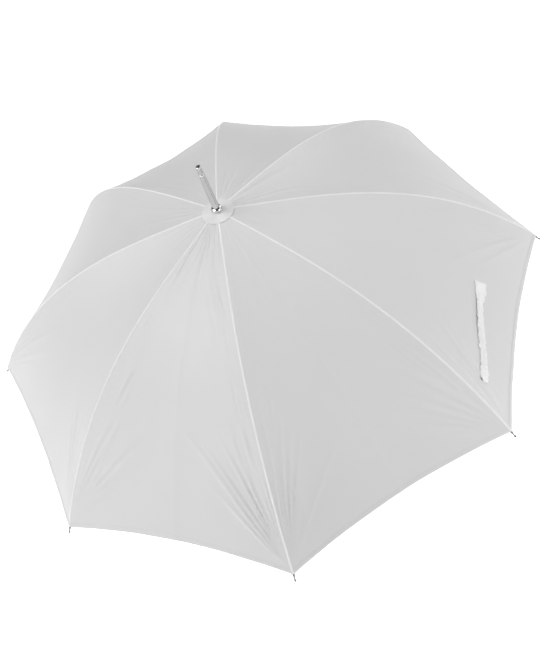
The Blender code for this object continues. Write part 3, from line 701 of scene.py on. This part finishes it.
def make_rosette():
    """The small gathered disc of fabric under the cup."""
    turns, rings = 144, 14
    random = np.random.default_rng(7)
    low, high = ROSETTE_INNER, ROSETTE_OUTER
    angle = np.linspace(0, 2 * math.pi, turns, endpoint=False)
    gathers = waves(random, 5, (0.16, 0.42), angle)
    closing = smooth(5.9, 2 * math.pi, angle)
    gathers = gathers * (1 - closing) + gathers[0] * closing
    share = np.linspace(0, 1, rings)[:, None]
    edge = high * (1 + 0.012 * np.sin(angle * 40))
    radius = low + (edge - low) * share
    rise = 0.0009 + 0.00012 * gathers * smooth(0.1, 1.0, share)
    x, y, z = radius * np.cos(angle), radius * np.sin(angle), fabric_z(radius) + rise
    grids = [np.stack([x, y, z + lift], -1) for lift in (0.0, -ROSETTE_THICK)]
    count = turns * rings
    points = np.concatenate([grid.reshape(-1, 3) for grid in grids])
    faces = grid_faces(rings, turns, closed=True) + grid_faces(rings, turns, count, turn=True, closed=True)
    for row, flip in ((0, False), (rings - 1, True)):
        for i in range(turns):
            j = (i + 1) % turns
            face = (row * turns + i, row * turns + j, count + row * turns + j, count + row * turns + i)
            faces.append(face[::-1] if flip else face)
    piece = add_mesh("gathered_rosette", (points, faces), ROSETTE, "root", "top_rosette", 60)


SLIT_AZIMUTH, SLIT_HALF, SLIT_DEPTH = -12, 5.0, 0.0009  # degrees, degrees, metres


def make_ferrule():
    """The long chromed point. A narrow slit runs down it, where its sheet metal meets."""
    low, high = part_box("ferrule")
    top = high[2]
    spigot, flange, flange_top = 0.0059, 0.0074, APEX_Z + 0.0042
    base_r, tip_r = 0.0066, 0.0048
    edge = 0.0004
    cap = top - 0.018
    body_top = cap - 2 * edge
    profile = [(0, low[2]), (spigot, low[2]), (spigot, APEX_Z + 0.0012), (flange, APEX_Z + 0.0012)]
    profile += [(flange, flange_top - edge), (flange - edge, flange_top), (base_r, flange_top + edge)]
    steps = 12
    for i in range(1, steps + 1):
        share = i / steps
        radius = base_r + (tip_r + 0.0003 - base_r) * share
        profile.append((radius, flange_top + edge + (body_top - flange_top - edge) * share))
    profile += arc((tip_r - 0.0002, body_top), 0.0005, 20, 80, 3)
    profile += [(tip_r - 0.0006, cap - 0.0001), (tip_r - 0.0006, cap + 0.0004)]
    profile += arc((tip_r - 0.0003, cap + 0.0007), 0.0003, -80, 0, 3)
    profile += arc((tip_r - 0.0012, top - 0.0012), 0.0012, 0, 90, 6)
    profile += [(0, top)]
    points, faces = lathe(profile, sides=120)
    for point in points:
        from_slit = math.degrees(math.atan2(point.y, point.x)) - SLIT_AZIMUTH
        on_side = point.z > flange_top + 0.001 and point.xy.length > tip_r - 0.001
        if on_side and abs(from_slit) < SLIT_HALF:
            point.xy *= 1 - SLIT_DEPTH / point.xy.length
    add_mesh("turned_ferrule", (points, faces), SATIN, "root", "ferrule")


def make_cup():
    """The chromed cup at the ferrule's foot."""
    z = APEX_Z
    bore, lip = 0.0077, 0.0069
    profile = [(bore, z + 0.0004), (0.0098, z + 0.0004)]
    profile += arc((0.0094, z + 0.0018), 0.0010, -60, 40, 5)
    profile += [(0.0100, z + 0.0030)]
    profile += arc((0.0070, z + 0.0042), 0.0031, 0, 80, 8)
    profile += [(lip + 0.0003, z + 0.0076), (lip, z + 0.0073), (lip, z + 0.0056), (bore, z + 0.0050)]
    shape = lathe(profile, sides=96, closed=True)
    add_mesh("turned_cup", shape, CHROME, "root", "ferrule_cup")


make_rosette()
make_ferrule()
make_cup()


# Rib tips

def rib_frame(radius, drop=RIB_DROP):
    """Where the rib's centre line lies under a fabric radius, in the rib's plane, and its slope there."""
    angle = math.atan(fabric_fall(radius))
    x = radius - drop * math.sin(angle)
    z = fabric_z(radius) - drop * math.cos(angle)
    return x, z, angle


def in_rib(rib, x, y, z):
    """A point of the rib's own frame in the model's frame."""
    azimuth = STEP * (rib - 1)
    cos, sin = math.cos(azimuth), math.sin(azimuth)
    return Vector((x * cos - y * sin, x * sin + y * cos, z))


TIP_IN, TIP_OUT = 0.017, 0.0165  # length under the fabric, and past the hem
TIP_START = CANOPY_R - TIP_IN * math.cos(math.atan(fabric_fall(CANOPY_R - TIP_IN / 2)))  # fabric radius


def make_tips():
    """Turned metal tips: a socket under the hem, a collar, a thin neck and a ball."""
    x, z, angle = rib_frame(TIP_START)
    end = TIP_IN + TIP_OUT
    ball = 0.0022
    profile = [(0, 0.0134), (0.00145, 0.0134), (0.00145, 0), (0.0017, 0), (0.0018, 0.0003)]
    profile += [(0.0018, TIP_IN - 0.0035)] + arc((0.0010, TIP_IN - 0.001), 0.0013, -40, 40, 5)
    profile += [(0.0016, TIP_IN + 0.0008), (0.0022, TIP_IN + 0.0014), (0.0023, TIP_IN + 0.0036)]
    profile += arc((0.0016, TIP_IN + 0.0042), 0.0006, 0, 60, 3)
    profile += [(0.0013, TIP_IN + 0.0062), (0.00115, end - 2 * ball - 0.0002)]
    profile += arc((0, end - ball), ball, -58, 88, 12)
    profile += [(0, end)]
    for rib in range(1, PANELS + 1):
        centre = in_rib(rib, x, 0, z)
        ahead = in_rib(rib, math.cos(angle), 0, -math.sin(angle))
        tip = lathe(profile, centre, ahead, sides=28)
        add_mesh(f"turned_tip_{rib}", tip, TIP_METAL, f"rib_end_{rib}", f"rib_tip_{rib}")


make_tips()


# Tie strap

# Its stitched squares: where they start and end along it, their share of its width, and their height over
# its middle layer
SEWN_SQUARES = ((0.015, 0.115, 0.84, 0.0014), (0.93, 0.985, 0.66, 0.0009))
STRAP_STITCH, STRAP_THREAD, STRAP_HALF_THICK = 0.0028, 0.0005, 0.0005
# Along its loose middle: how far it drifts sideways, and the height of its ruffled edges and its crumples
STRAP_DRIFT, STRAP_RUFFLE, STRAP_CRUMPLE = 0.0042, 0.0011, 0.00055
# The doubled webbing at its sewn end: its length and half width as shares of the strap's, and its two faces
PATCH_END, PATCH_HALF, PATCH_TOP, PATCH_UNDER = 0.13, 0.94, 0.0011, 0.0006


def make_strap():
    """Soft white webbing, sewn flat at its ends. In between it is curled narrow and stands off the panel."""
    share = np.linspace(0, 1, 110)
    radius, across = (start + (end - start) * share for start, end in zip(STRAP_FROM, STRAP_TO))
    up = surface_normal(1, radius, across)
    base = panel_surface(1, radius, across, 0.0009)
    ahead = np.gradient(base, axis=0)
    ahead /= np.linalg.norm(ahead, axis=1, keepdims=True)
    side = np.cross(ahead, up)
    random = np.random.default_rng(11)
    upper = 1 - smooth(0.09, 0.24, share)
    lower = smooth(0.80, 0.93, share)
    half = STRAP_WIDTH / 2 * (0.58 + 0.42 * upper + 0.22 * lower)
    loose = 1 - np.maximum(upper, smooth(0.90, 0.98, share))
    arch = STRAP_ARCH * np.sin(math.pi * share) ** 2
    drift = STRAP_DRIFT * np.sin(math.pi * np.clip(share * 1.3, 0, 1)) * loose
    edges = {edge: STRAP_RUFFLE * waves(random, 7, (0.030, 0.12), share) for edge in (-1, 1)}
    round_end = 0.55 * smooth(0.975, 1.0, share) ** 2
    columns = np.linspace(-1, 1, 13)
    tops, unders = [], []
    for y in columns:
        crumple = STRAP_CRUMPLE * waves(random, 5, (0.02, 0.08), share + 0.01 * y) * (0.35 + 0.65 * loose)
        curl = 0.0009 * (1 - y * y) * loose + 0.0006 * y * loose * np.sin(7 * share)
        frayed = (edges[-1] * (1 - y) - edges[1] * (1 + y)) / 2 * abs(y)
        offset = side * (y * half * (1 - round_end * abs(y)) + frayed + drift)[:, None]
        place = base + offset + up * (arch + curl + crumple)[:, None]
        tops.append(place + up * STRAP_HALF_THICK)
        unders.append(place - up * STRAP_HALF_THICK)
    shape = slab(np.stack(tops, 1), np.stack(unders, 1), turn=True)
    strap = add_mesh("woven_tie_strap", shape, WEBBING, "rib_end_1", "tie_strap", 50)
    length = float(np.linalg.norm(np.diff(base, axis=0), axis=1).sum()) + 0.004
    sewn = []
    for first, last, width, lift in SEWN_SQUARES:
        corners = [(first, -1), (last, -1), (last, 1), (first, 1), (first, -1)]
        for (start, y0), (end, y1) in zip(corners, corners[1:]):
            runs = abs(end - start) * length, abs(y1 - y0) * STRAP_WIDTH / 2 * width
            steps = max(3, *(int(run / STRAP_STITCH) for run in runs))
            place = (np.arange(steps) + 0.5) / steps
            points = []
            for shift in (0.0, 0.42 / steps):
                s = start + (end - start) * (place + shift)
                y = (y0 + (y1 - y0) * (place + shift)) * STRAP_WIDTH / 2 * width
                middle, sideways, ups = (
                    np.stack([np.interp(s, share, line[:, axis]) for axis in range(3)], 1)
                    for line in (base, side, up)
                )
                points.append(middle + sideways * y[:, None] + ups * lift)
            sewn.append(stitches(points[0], points[1], ups, STRAP_THREAD))
    upper_end = share < PATCH_END
    places = np.linspace(-PATCH_HALF, PATCH_HALF, 9) * STRAP_WIDTH / 2
    spots = [(base + side * y)[upper_end] for y in places]
    ups = up[upper_end]
    top, under = (np.stack([spot + ups * lift for spot in spots], 1) for lift in (PATCH_TOP, PATCH_UNDER))
    shape = slab(top, under, turn=True)
    patch = add_mesh("sewn_strap_patch", shape, WEBBING, "rib_end_1", "strap_patch", 50)
    thread = add_mesh("strap_thread", joined(sewn), THREAD, "rib_end_1")
    for piece in (strap, patch, thread):
        fold_with(piece)


make_strap()


# Ribs, stretchers and brackets, in the plane of one rib: x is away from the shaft

PIVOT_R = 0.011  # radius of the wire rings that the ribs and stretchers turn on
NOTCH_PIVOT = (PIVOT_R, APEX_Z - 0.0072)
FOOT_LENGTH, EYE_R, EYE_HOLE_R = 0.012, 0.0022, 0.0011
FOLD_GAP = 0.0008
RIB_HALF, RIB_TIP_HALF, WALL = 0.0016, 0.0010, 0.00045
BRACKET_DROP = 0.005
TIE_R = (0.185, 0.465)  # fabric radii of the thread ties
TIE_LOOP_R, TIE_THREAD_R, TIE_PITCH = 0.0028, 0.00028, 0.0007
EAR_INNER, EAR_OUTER, EAR_BACK, EAR_FRONT = 0.0020, 0.0028, 0.0085, 0.0025


def tilted(point, angle, forward, up=0.0):
    """The point moved forward and up in axes that are tilted down by the angle."""
    x, z = point
    cos, sin = math.cos(angle), math.sin(angle)
    return x + forward * cos + up * sin, z - forward * sin + up * cos


FOLD_PIVOT = rib_frame(JOINT_R)[:2]
JOINT_SLOPE = math.atan(fabric_fall(JOINT_R))
STRETCHER_PIVOT = tilted(FOLD_PIVOT, JOINT_SLOPE, 0, -BRACKET_DROP)
RUNNER_PIVOT = (PIVOT_R, 2 * STRETCHER_PIVOT[1] - NOTCH_PIVOT[1])
LINK_LENGTH = math.dist(STRETCHER_PIVOT, RUNNER_PIVOT)


def channel(wide, tall):
    """The section of a folded metal channel that opens downwards, as (across, up) points."""
    in_wide, in_tall = wide - WALL, tall - WALL
    half = [(wide * 0.5, tall), (wide, tall * 0.5), (wide, -tall)]
    half += [(in_wide, -tall), (in_wide, in_tall * 0.45), (in_wide * 0.4, in_tall)]
    other = [(-across, up) for across, up in half[::-1]]
    return other[3:] + half + other[:3]


def bar(rib, path, sections):
    """A bar along a path of (x, z) points in a rib's plane, with one section for each point."""
    path = np.array(path)
    ahead = np.gradient(path, axis=0)
    ahead /= np.linalg.norm(ahead, axis=1, keepdims=True)
    points = []
    for (x, z), (dx, dz), section in zip(path, ahead, sections):
        points += [in_rib(rib, x - dz * up, across, z + dx * up) for across, up in section]
    count = len(sections[0])
    faces = grid_faces(len(path), count, closed=True, turn=True)
    last = len(points) - count
    return points, faces + [tuple(range(count)), tuple(range(last, last + count))[::-1]]


def eye(rib, place, half_width):
    """A ring on a level pin."""
    outer, hole, edge = EYE_R, EYE_HOLE_R, 0.0002
    profile = [(hole, -half_width), (outer - edge, -half_width), (outer, edge - half_width)]
    profile += [(outer, half_width - edge), (outer - edge, half_width), (hole, half_width)]
    return lathe(profile, in_rib(rib, place[0], 0, place[1]), in_rib(rib, 0, 1, 0), sides=28, closed=True)


def rivet(rib, place, side, out, radius=0.0013):
    """A domed rivet head on one side of a bracket."""
    height = radius * 0.45
    profile = [(0, -0.0003), (radius, -0.0003), (radius, 0)]
    profile += [(radius * math.cos(a), height * math.sin(a)) for a in np.linspace(0, math.pi / 2, 6)[1:-1]]
    profile += [(0, height)]
    return lathe(profile, in_rib(rib, place[0], side * out, place[1]), in_rib(rib, 0, side, 0), sides=20)


def ear(rib, side):
    """One cheek of the joint bracket, with a round end about the stretcher's pin."""
    outline = [(-EAR_BACK, 0.0018), (EAR_FRONT, 0.0018), (EAR_FRONT, -0.0040)]
    outline += arc((0, -BRACKET_DROP), EYE_R + 0.0002, 0, -150, 10) + [(-EAR_BACK, -0.0024)]
    layers = []
    for out in (EAR_INNER, EAR_OUTER):
        spots = [tilted(FOLD_PIVOT, JOINT_SLOPE, forward, up) for forward, up in outline]
        layers.append([in_rib(rib, x, side * out, z) for x, z in spots])
    count = len(outline)
    points = layers[0] + layers[1]
    faces = [(i, (i + 1) % count, count + (i + 1) % count, count + i) for i in range(count)]
    faces += [tuple(range(count))[::-1], tuple(range(count, 2 * count))]
    return points, faces if side < 0 else [face[::-1] for face in faces]


def wire_section(ring_r, wire_r, sides):
    """The section of a ring of wire, for the lathe."""
    turns = np.linspace(0, 2 * math.pi, sides + 1)[:-1]
    return [(ring_r + wire_r * math.cos(a), wire_r * math.sin(a)) for a in turns]


def thread_tie(rib, radius):
    """Three turns of thread that hold the fabric to the rib."""
    x, z, angle = rib_frame(radius)
    ahead = in_rib(rib, math.cos(angle), 0, -math.sin(angle))
    loops = []
    for turn in (-1, 0, 1):
        spot = tilted((x, z), angle, turn * TIE_PITCH)
        centre = in_rib(rib, spot[0], 0, spot[1])
        loops.append(lathe(wire_section(TIE_LOOP_R, TIE_THREAD_R, 6), centre, ahead, sides=20, closed=True))
    return joined(loops)


def make_rib(rib):
    """A fluted rib in two lengths, with its joint bracket and the thread that ties the fabric to it."""
    foot_x = NOTCH_PIVOT[0] + FOOT_LENGTH
    path, sections = [(NOTCH_PIVOT[0] + 0.0014, NOTCH_PIVOT[1])], [channel(0.0007, 0.0013)]
    path.append((foot_x - 0.002, rib_frame(foot_x - 0.002)[1]))
    sections.append(channel(0.0007, 0.0013))
    for x in np.linspace(foot_x + 0.003, JOINT_R - 0.004, 26):
        path.append(rib_frame(x)[:2])
        sections.append(channel(RIB_HALF, RIB_HALF))
    path.append(tilted(FOLD_PIVOT, JOINT_SLOPE, -FOLD_GAP))
    sections.append(channel(RIB_HALF, RIB_HALF))
    inner = joined([bar(rib, path, sections), eye(rib, NOTCH_PIVOT, 0.0008)])
    body, end_body = f"rib_{rib}", f"rib_end_{rib}"
    add_mesh(f"fluted_rib_{rib}_inner", inner, RIB_METAL, body, f"rib_{rib}_inner")
    sleeve = [(-EAR_INNER, -0.0018), (-EAR_INNER, 0.0012), (-0.0015, 0.0018), (0.0015, 0.0018)]
    sleeve += [(EAR_INNER, 0.0012), (EAR_INNER, -0.0018), (0.0017, -0.0018), (0.0017, 0.0010)]
    sleeve += [(-0.0017, 0.0010), (-0.0017, -0.0018)]
    ends = [tilted(FOLD_PIVOT, JOINT_SLOPE, forward) for forward in (-EAR_BACK, -0.0012)]
    middle = tilted(FOLD_PIVOT, JOINT_SLOPE, -EAR_BACK * 0.62)
    bracket = [bar(rib, ends, [sleeve] * 2), ear(rib, -1), ear(rib, 1)]
    bracket += [rivet(rib, spot, side, EAR_OUTER) for spot in (middle, STRETCHER_PIVOT) for side in (-1, 1)]
    pin = [(0, -EAR_OUTER), (0.00075, -EAR_OUTER), (0.00075, EAR_OUTER), (0, EAR_OUTER)]
    spot = in_rib(rib, STRETCHER_PIVOT[0], 0, STRETCHER_PIVOT[1])
    bracket.append(lathe(pin, spot, in_rib(rib, 0, 1, 0), sides=16))
    add_mesh(f"joint_bracket_{rib}", joined(bracket), SPRING, body)
    radii = np.linspace(JOINT_R + 0.004, TIP_START + 0.010, 28)
    path = [tilted(FOLD_PIVOT, JOINT_SLOPE, FOLD_GAP)] + [rib_frame(x)[:2] for x in radii]
    half_widths = np.linspace(0.0015, RIB_TIP_HALF, len(path))
    outer = bar(rib, path, [channel(half, half) for half in half_widths])
    add_mesh(f"fluted_rib_{rib}_outer", outer, RIB_METAL, end_body, f"rib_{rib}_outer")
    add_mesh(f"tie_thread_{rib}_inner", thread_tie(rib, TIE_R[0]), THREAD, body)
    add_mesh(f"tie_thread_{rib}_outer", thread_tie(rib, TIE_R[1]), THREAD, end_body)


def make_stretcher(rib):
    """A fluted bar with an eye at each end."""
    (x0, z0), (x1, z1) = STRETCHER_PIVOT, RUNNER_PIVOT
    spots = [0.0016, LINK_LENGTH - FOOT_LENGTH - 0.004, LINK_LENGTH - FOOT_LENGTH, LINK_LENGTH - 0.0014]
    sizes = [(0.0015, 0.0015), (0.0015, 0.0015), (0.0007, 0.0013), (0.0007, 0.0013)]
    path = [(x0 + (x1 - x0) * d / LINK_LENGTH, z0 + (z1 - z0) * d / LINK_LENGTH) for d in spots]
    parts = [bar(rib, path, [channel(wide, tall) for wide, tall in sizes])]
    parts += [eye(rib, STRETCHER_PIVOT, 0.0017), eye(rib, RUNNER_PIVOT, 0.0008)]
    node = f"stretcher_{rib}"
    add_mesh(f"fluted_stretcher_{rib}", joined(parts), RIB_METAL, node, node)


for number in range(1, PANELS + 1):
    make_rib(number)
    make_stretcher(number)


# Shaft, crowns and handle

SHAFT_R, SHAFT_WALL, BORE_GAP = 0.007, 0.0007, 0.0003
CROWN_R, CROWN_SIDE, CROWN_BACK, GROOVE, NECK_R = 0.014, 0.005, 0.0036, 0.0009, 0.0089
SLOT_WIDTH, SLOT_BACK, SLOT_IN = 0.0024, 0.0026, 0.0027
NOTCH_NECK, CROWN_EDGE, SHAFT_EDGE, WIRE_R = 0.014, 0.0002, 0.00008, 0.0006
SOCKET_R = SHAFT_R + 0.0004  # bore of the handle and its collar
CATCH_AZIMUTH = STEP / 2


def cutter_box(low, high, azimuth):
    """A box as points and faces, turned about the shaft."""
    corners = [(x, y, z) for z in (low[2], high[2]) for y in (low[1], high[1]) for x in (low[0], high[0])]
    cos, sin = math.cos(azimuth), math.sin(azimuth)
    points = [(x * cos - y * sin, x * sin + y * cos, z) for x, y, z in corners]
    return points, [(0, 2, 3, 1), (4, 5, 7, 6), (0, 1, 5, 4), (2, 6, 7, 3), (0, 4, 6, 2), (1, 3, 7, 5)]


def plain_object(name, shape):
    """An object with no material, to be cut or to cut with."""
    mesh = bpy.data.meshes.new(name)
    mesh.from_pydata([tuple(point) for point in shape[0]], [], shape[1])
    return add_object(name, mesh)


def carved(shape, cuts, edge):
    """A shape with others cut out of it and its edges rounded."""
    piece = plain_object("blank", shape)
    tool = plain_object("cutter", joined(cuts))
    boolean = piece.modifiers.new("cut", "BOOLEAN")
    boolean.operation = "DIFFERENCE"
    boolean.object = tool
    bevel = piece.modifiers.new("edge", "BEVEL")
    bevel.width = edge
    bevel.segments = 2
    bevel.limit_method = "ANGLE"
    bevel.angle_limit = math.radians(40)
    graph = bpy.context.evaluated_depsgraph_get()
    made = bpy.data.meshes.new_from_object(piece.evaluated_get(graph))
    points = [v.co.copy() for v in made.vertices]
    faces = [tuple(p.vertices) for p in made.polygons]
    bpy.data.objects.remove(piece)
    bpy.data.objects.remove(tool)
    return points, faces


def crown_slots(pivot_z, opening):
    """Cutters for the eight slots of a crown, which open upwards (1) or downwards (-1)."""
    low, high = sorted((pivot_z - opening * SLOT_BACK, pivot_z + opening * (CROWN_SIDE + 0.001)))
    half = SLOT_WIDTH / 2
    corners = (PIVOT_R - SLOT_IN, -half, low), (CROWN_R + 0.002, half, high)
    return [cutter_box(*corners, STEP * i) for i in range(PANELS)]


def make_crowns():
    """The notch at the top, the sliding runner, and the wire ring in each."""
    bore = SHAFT_R + BORE_GAP
    in_groove, out_groove = PIVOT_R - GROOVE, PIVOT_R + GROOVE
    z = NOTCH_PIVOT[1]
    notch = [(bore, z - NOTCH_NECK), (NECK_R, z - NOTCH_NECK), (NECK_R, z - CROWN_SIDE)]
    notch += [(in_groove, z - CROWN_SIDE), (in_groove, z + GROOVE), (out_groove, z + GROOVE)]
    notch += [(out_groove, z - CROWN_SIDE), (CROWN_R, z - CROWN_SIDE)]
    notch += [(CROWN_R, z + CROWN_BACK), (bore, z + CROWN_BACK)]
    shape = carved(lathe(notch, closed=True), crown_slots(z, -1), CROWN_EDGE)
    add_mesh("slotted_notch", shape, PLASTIC, "root", "top_notch", 50)
    z = RUNNER_PIVOT[1]
    low, high = (corner[2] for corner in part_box("runner"))
    sleeve, waist = 0.0115, 0.0109
    runner = [(bore, low), (sleeve, low), (sleeve, low + 0.004), (waist, low + 0.0046)]
    runner += [(waist, low + 0.0070), (sleeve, low + 0.0076), (sleeve, z - 0.008)]
    runner += [(CROWN_R, z - 0.0055), (CROWN_R, z + CROWN_SIDE)]
    runner += [(out_groove, z + CROWN_SIDE), (out_groove, z - GROOVE)]
    runner += [(in_groove, z - GROOVE), (in_groove, z + CROWN_SIDE), (NECK_R, z + CROWN_SIDE)]
    runner += [(NECK_R, high), (bore, high)]
    keyway = cutter_box((0.004, -0.0021, low - 0.001), (0.0104, 0.0021, high + 0.001), CATCH_AZIMUTH)
    window = cutter_box((0.005, -0.0026, low + 0.009), (0.013, 0.0026, low + 0.025), CATCH_AZIMUTH)
    shape = carved(lathe(runner, closed=True), crown_slots(z, 1) + [keyway, window], CROWN_EDGE)
    add_mesh("slotted_runner", shape, PLASTIC, "runner", "runner", 50)
    wire = wire_section(PIVOT_R, WIRE_R, 10)
    for node, body, pivot in (("notch_wire", "root", NOTCH_PIVOT), ("runner_wire", "runner", RUNNER_PIVOT)):
        ring = lathe(wire, (0, 0, pivot[1]), sides=72, closed=True)
        add_mesh(f"ring_of_{node}", ring, SPRING, body, node)


def make_shaft():
    """The chromed tube with a slot for each catch's wedge, and its stop pin."""
    low, high = (corner[2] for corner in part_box("shaft"))
    inner = SHAFT_R - SHAFT_WALL
    tube = lathe([(inner, low), (SHAFT_R, low), (SHAFT_R, high), (inner, high)], sides=72, closed=True)
    cuts = []
    for node in ("top_catch", "bottom_catch"):
        bottom, top = (corner[2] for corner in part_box(node))
        near, far = 0.0135, 0.027  # the wedge's stretch, from the end of the catch that it is nearer to
        start, end = (top - far, top - near) if node == "top_catch" else (bottom + near, bottom + far)
        cuts.append(cutter_box((0.002, -0.0019, start), (SHAFT_R + 0.002, 0.0019, end), CATCH_AZIMUTH))
    add_mesh("chromed_shaft", carved(tube, cuts, SHAFT_EDGE), SATIN, "root", "shaft", 50)
    low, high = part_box("stop_pin")
    centre = [(a + b) / 2 for a, b in zip(low, high)]
    across = (-math.sin(CATCH_AZIMUTH), math.cos(CATCH_AZIMUTH), 0)
    pin = [(0, -0.0095), (0.0011, -0.0095), (0.0015, -0.0091)]
    pin += [(0.0015, 0.0091), (0.0011, 0.0095), (0, 0.0095)]
    shape = lathe(pin, centre, across, sides=24)
    add_mesh("turned_stop_pin", shape, SPRING, "root", "stop_pin")


def make_handle():
    """A lacquered wooden grip with a shallow waist, a metal collar and a metal end cap."""
    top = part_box("handle")[1][2]
    socket_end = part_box("shaft")[0][2] - BORE_GAP
    knots = [(0.003, 0.0144), (0.012, 0.0147), (0.030, 0.0144), (0.055, 0.0136), (0.085, 0.0127)]
    knots += [(0.115, 0.0120), (top - 0.006, 0.0116), (top - 0.001, 0.0115)]
    heights = np.linspace(knots[0][0], knots[-1][0], 40)
    radii = np.interp(heights, [z for z, r in knots], [r for z, r in knots])
    radii = np.convolve(np.pad(radii, 3, "edge"), np.ones(7) / 7, "valid")
    profile = [(0, 0.0033), (0.0114, 0.0033), (0.0114, 0.0003), (0.0118, 0)]
    profile += arc((0.0118, 0.0026), 0.0026, -90, -8, 6)
    profile += [(float(r), float(z)) for r, z in zip(radii, heights)]
    profile += arc((0.0108, top - 0.0007), 0.0007, 0, 90, 4)
    profile += [(SOCKET_R, top), (SOCKET_R, socket_end), (0, socket_end)]
    add_mesh("turned_handle", lathe(profile, sides=96), WOOD, "root", "handle")
    cap = [(0, 0.0004), (0.0070, 0.0002), (0.0102, 0.0)]
    cap += arc((0.0106, 0.0005), 0.0005, -90, 0, 4) + [(0.0111, 0.003), (0, 0.003)]
    add_mesh("domed_end_cap", lathe(cap, sides=72), CHROME, "root", "handle_end_cap")
    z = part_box("handle_collar")[0][2]
    collar = [(SOCKET_R, z), (0.0120, z)] + arc((0.0116, z + 0.0012), 0.0008, -70, 70, 6)
    collar += [(0.0113, z + 0.0024), (0.0113, z + 0.0032)] + arc((0.0111, z + 0.0042), 0.0005, -70, 70, 4)
    collar += [(0.0108, z + 0.0054), (0.0104, z + 0.0090), (0.0100, z + 0.0108)]
    collar += [(0.0095, z + 0.0120), (SOCKET_R, z + 0.0120)]
    shape = lathe(collar, sides=72, closed=True)
    add_mesh("turned_collar", shape, CHROME, "root", "handle_collar")


def give_cad_materials():
    """The CAD nodes that are shown as they are get their material."""
    for name in ("top_catch", "bottom_catch"):
        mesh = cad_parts[name].data
        mesh.materials.clear()
        mesh.materials.append(SPRING)


make_crowns()
make_shaft()
make_handle()
give_cad_materials()


# Stage, light and camera

FLOOR_HALF, FLOOR_GAP = 9.0, 0.0005


def make_floor():
    low = float(cad_box[0][2]) - FLOOR_GAP
    corners = [(x * FLOOR_HALF, y * FLOOR_HALF, low) for x, y in ((-1, -1), (1, -1), (1, 1), (-1, 1))]
    floor = plain_object("floor", (corners, [(0, 1, 2, 3)]))
    floor.data.materials.append(floor_finish())


# Each soft lamp: azimuth and height over the horizon in degrees, and power in watts
LAMPS = {
    "left": (260, 20, 30),
    "left_back": (216, 56, 49),
    "right": (13, 20, 39),
    "far_right": (58, 20, 7),
    "back": (103, 38, 22),
}
LAMP_SIZE, LAMP_DISTANCE = 2.2, 3.0
LAMP_AIM = Vector((0, 0, 0.82))
BACKDROP_LIGHT = 0.10


def make_light():
    """Soft lamps around the canopy. The backdrop is white to the camera, but gives only a little light."""
    world = bpy.data.worlds.new("studio")
    world.use_nodes = True
    tree = world.node_tree
    faint = tree.nodes["Background"]
    faint.inputs["Color"].default_value = (1, 1, 1, 1)
    faint.inputs["Strength"].default_value = BACKDROP_LIGHT
    white = tree.nodes.new("ShaderNodeBackground")
    white.inputs["Color"].default_value = (1, 1, 1, 1)
    seen = tree.nodes.new("ShaderNodeLightPath")
    mix = tree.nodes.new("ShaderNodeMixShader")
    tree.links.new(seen.outputs["Is Camera Ray"], mix.inputs["Fac"])
    tree.links.new(faint.outputs["Background"], mix.inputs[1])
    tree.links.new(white.outputs["Background"], mix.inputs[2])
    tree.links.new(mix.outputs["Shader"], tree.nodes["World Output"].inputs["Surface"])
    bpy.context.scene.world = world
    for name, (azimuth, height, power) in LAMPS.items():
        azimuth, height = math.radians(azimuth), math.radians(height)
        level = math.cos(height)
        direction = Vector((level * math.cos(azimuth), level * math.sin(azimuth), math.sin(height)))
        lamp = bpy.data.lights.new(name, "AREA")
        lamp.shape = "DISK"
        lamp.size = LAMP_SIZE
        lamp.energy = power
        holder = add_object(name, lamp)
        holder.location = LAMP_AIM + direction * LAMP_DISTANCE
        holder.rotation_euler = (-direction).to_track_quat("-Z", "Y").to_euler()


def make_camera():
    camera = bpy.data.cameras.new("camera")
    camera.lens = CAMERA_LENS
    holder = add_object("camera", camera)
    holder.location = CAMERA_PLACE
    holder.rotation_euler = Euler([math.radians(a) for a in CAMERA_TURN])
    bpy.context.scene.camera = holder
    bpy.context.scene.view_settings.view_transform = "Standard"


make_floor()
make_light()
make_camera()
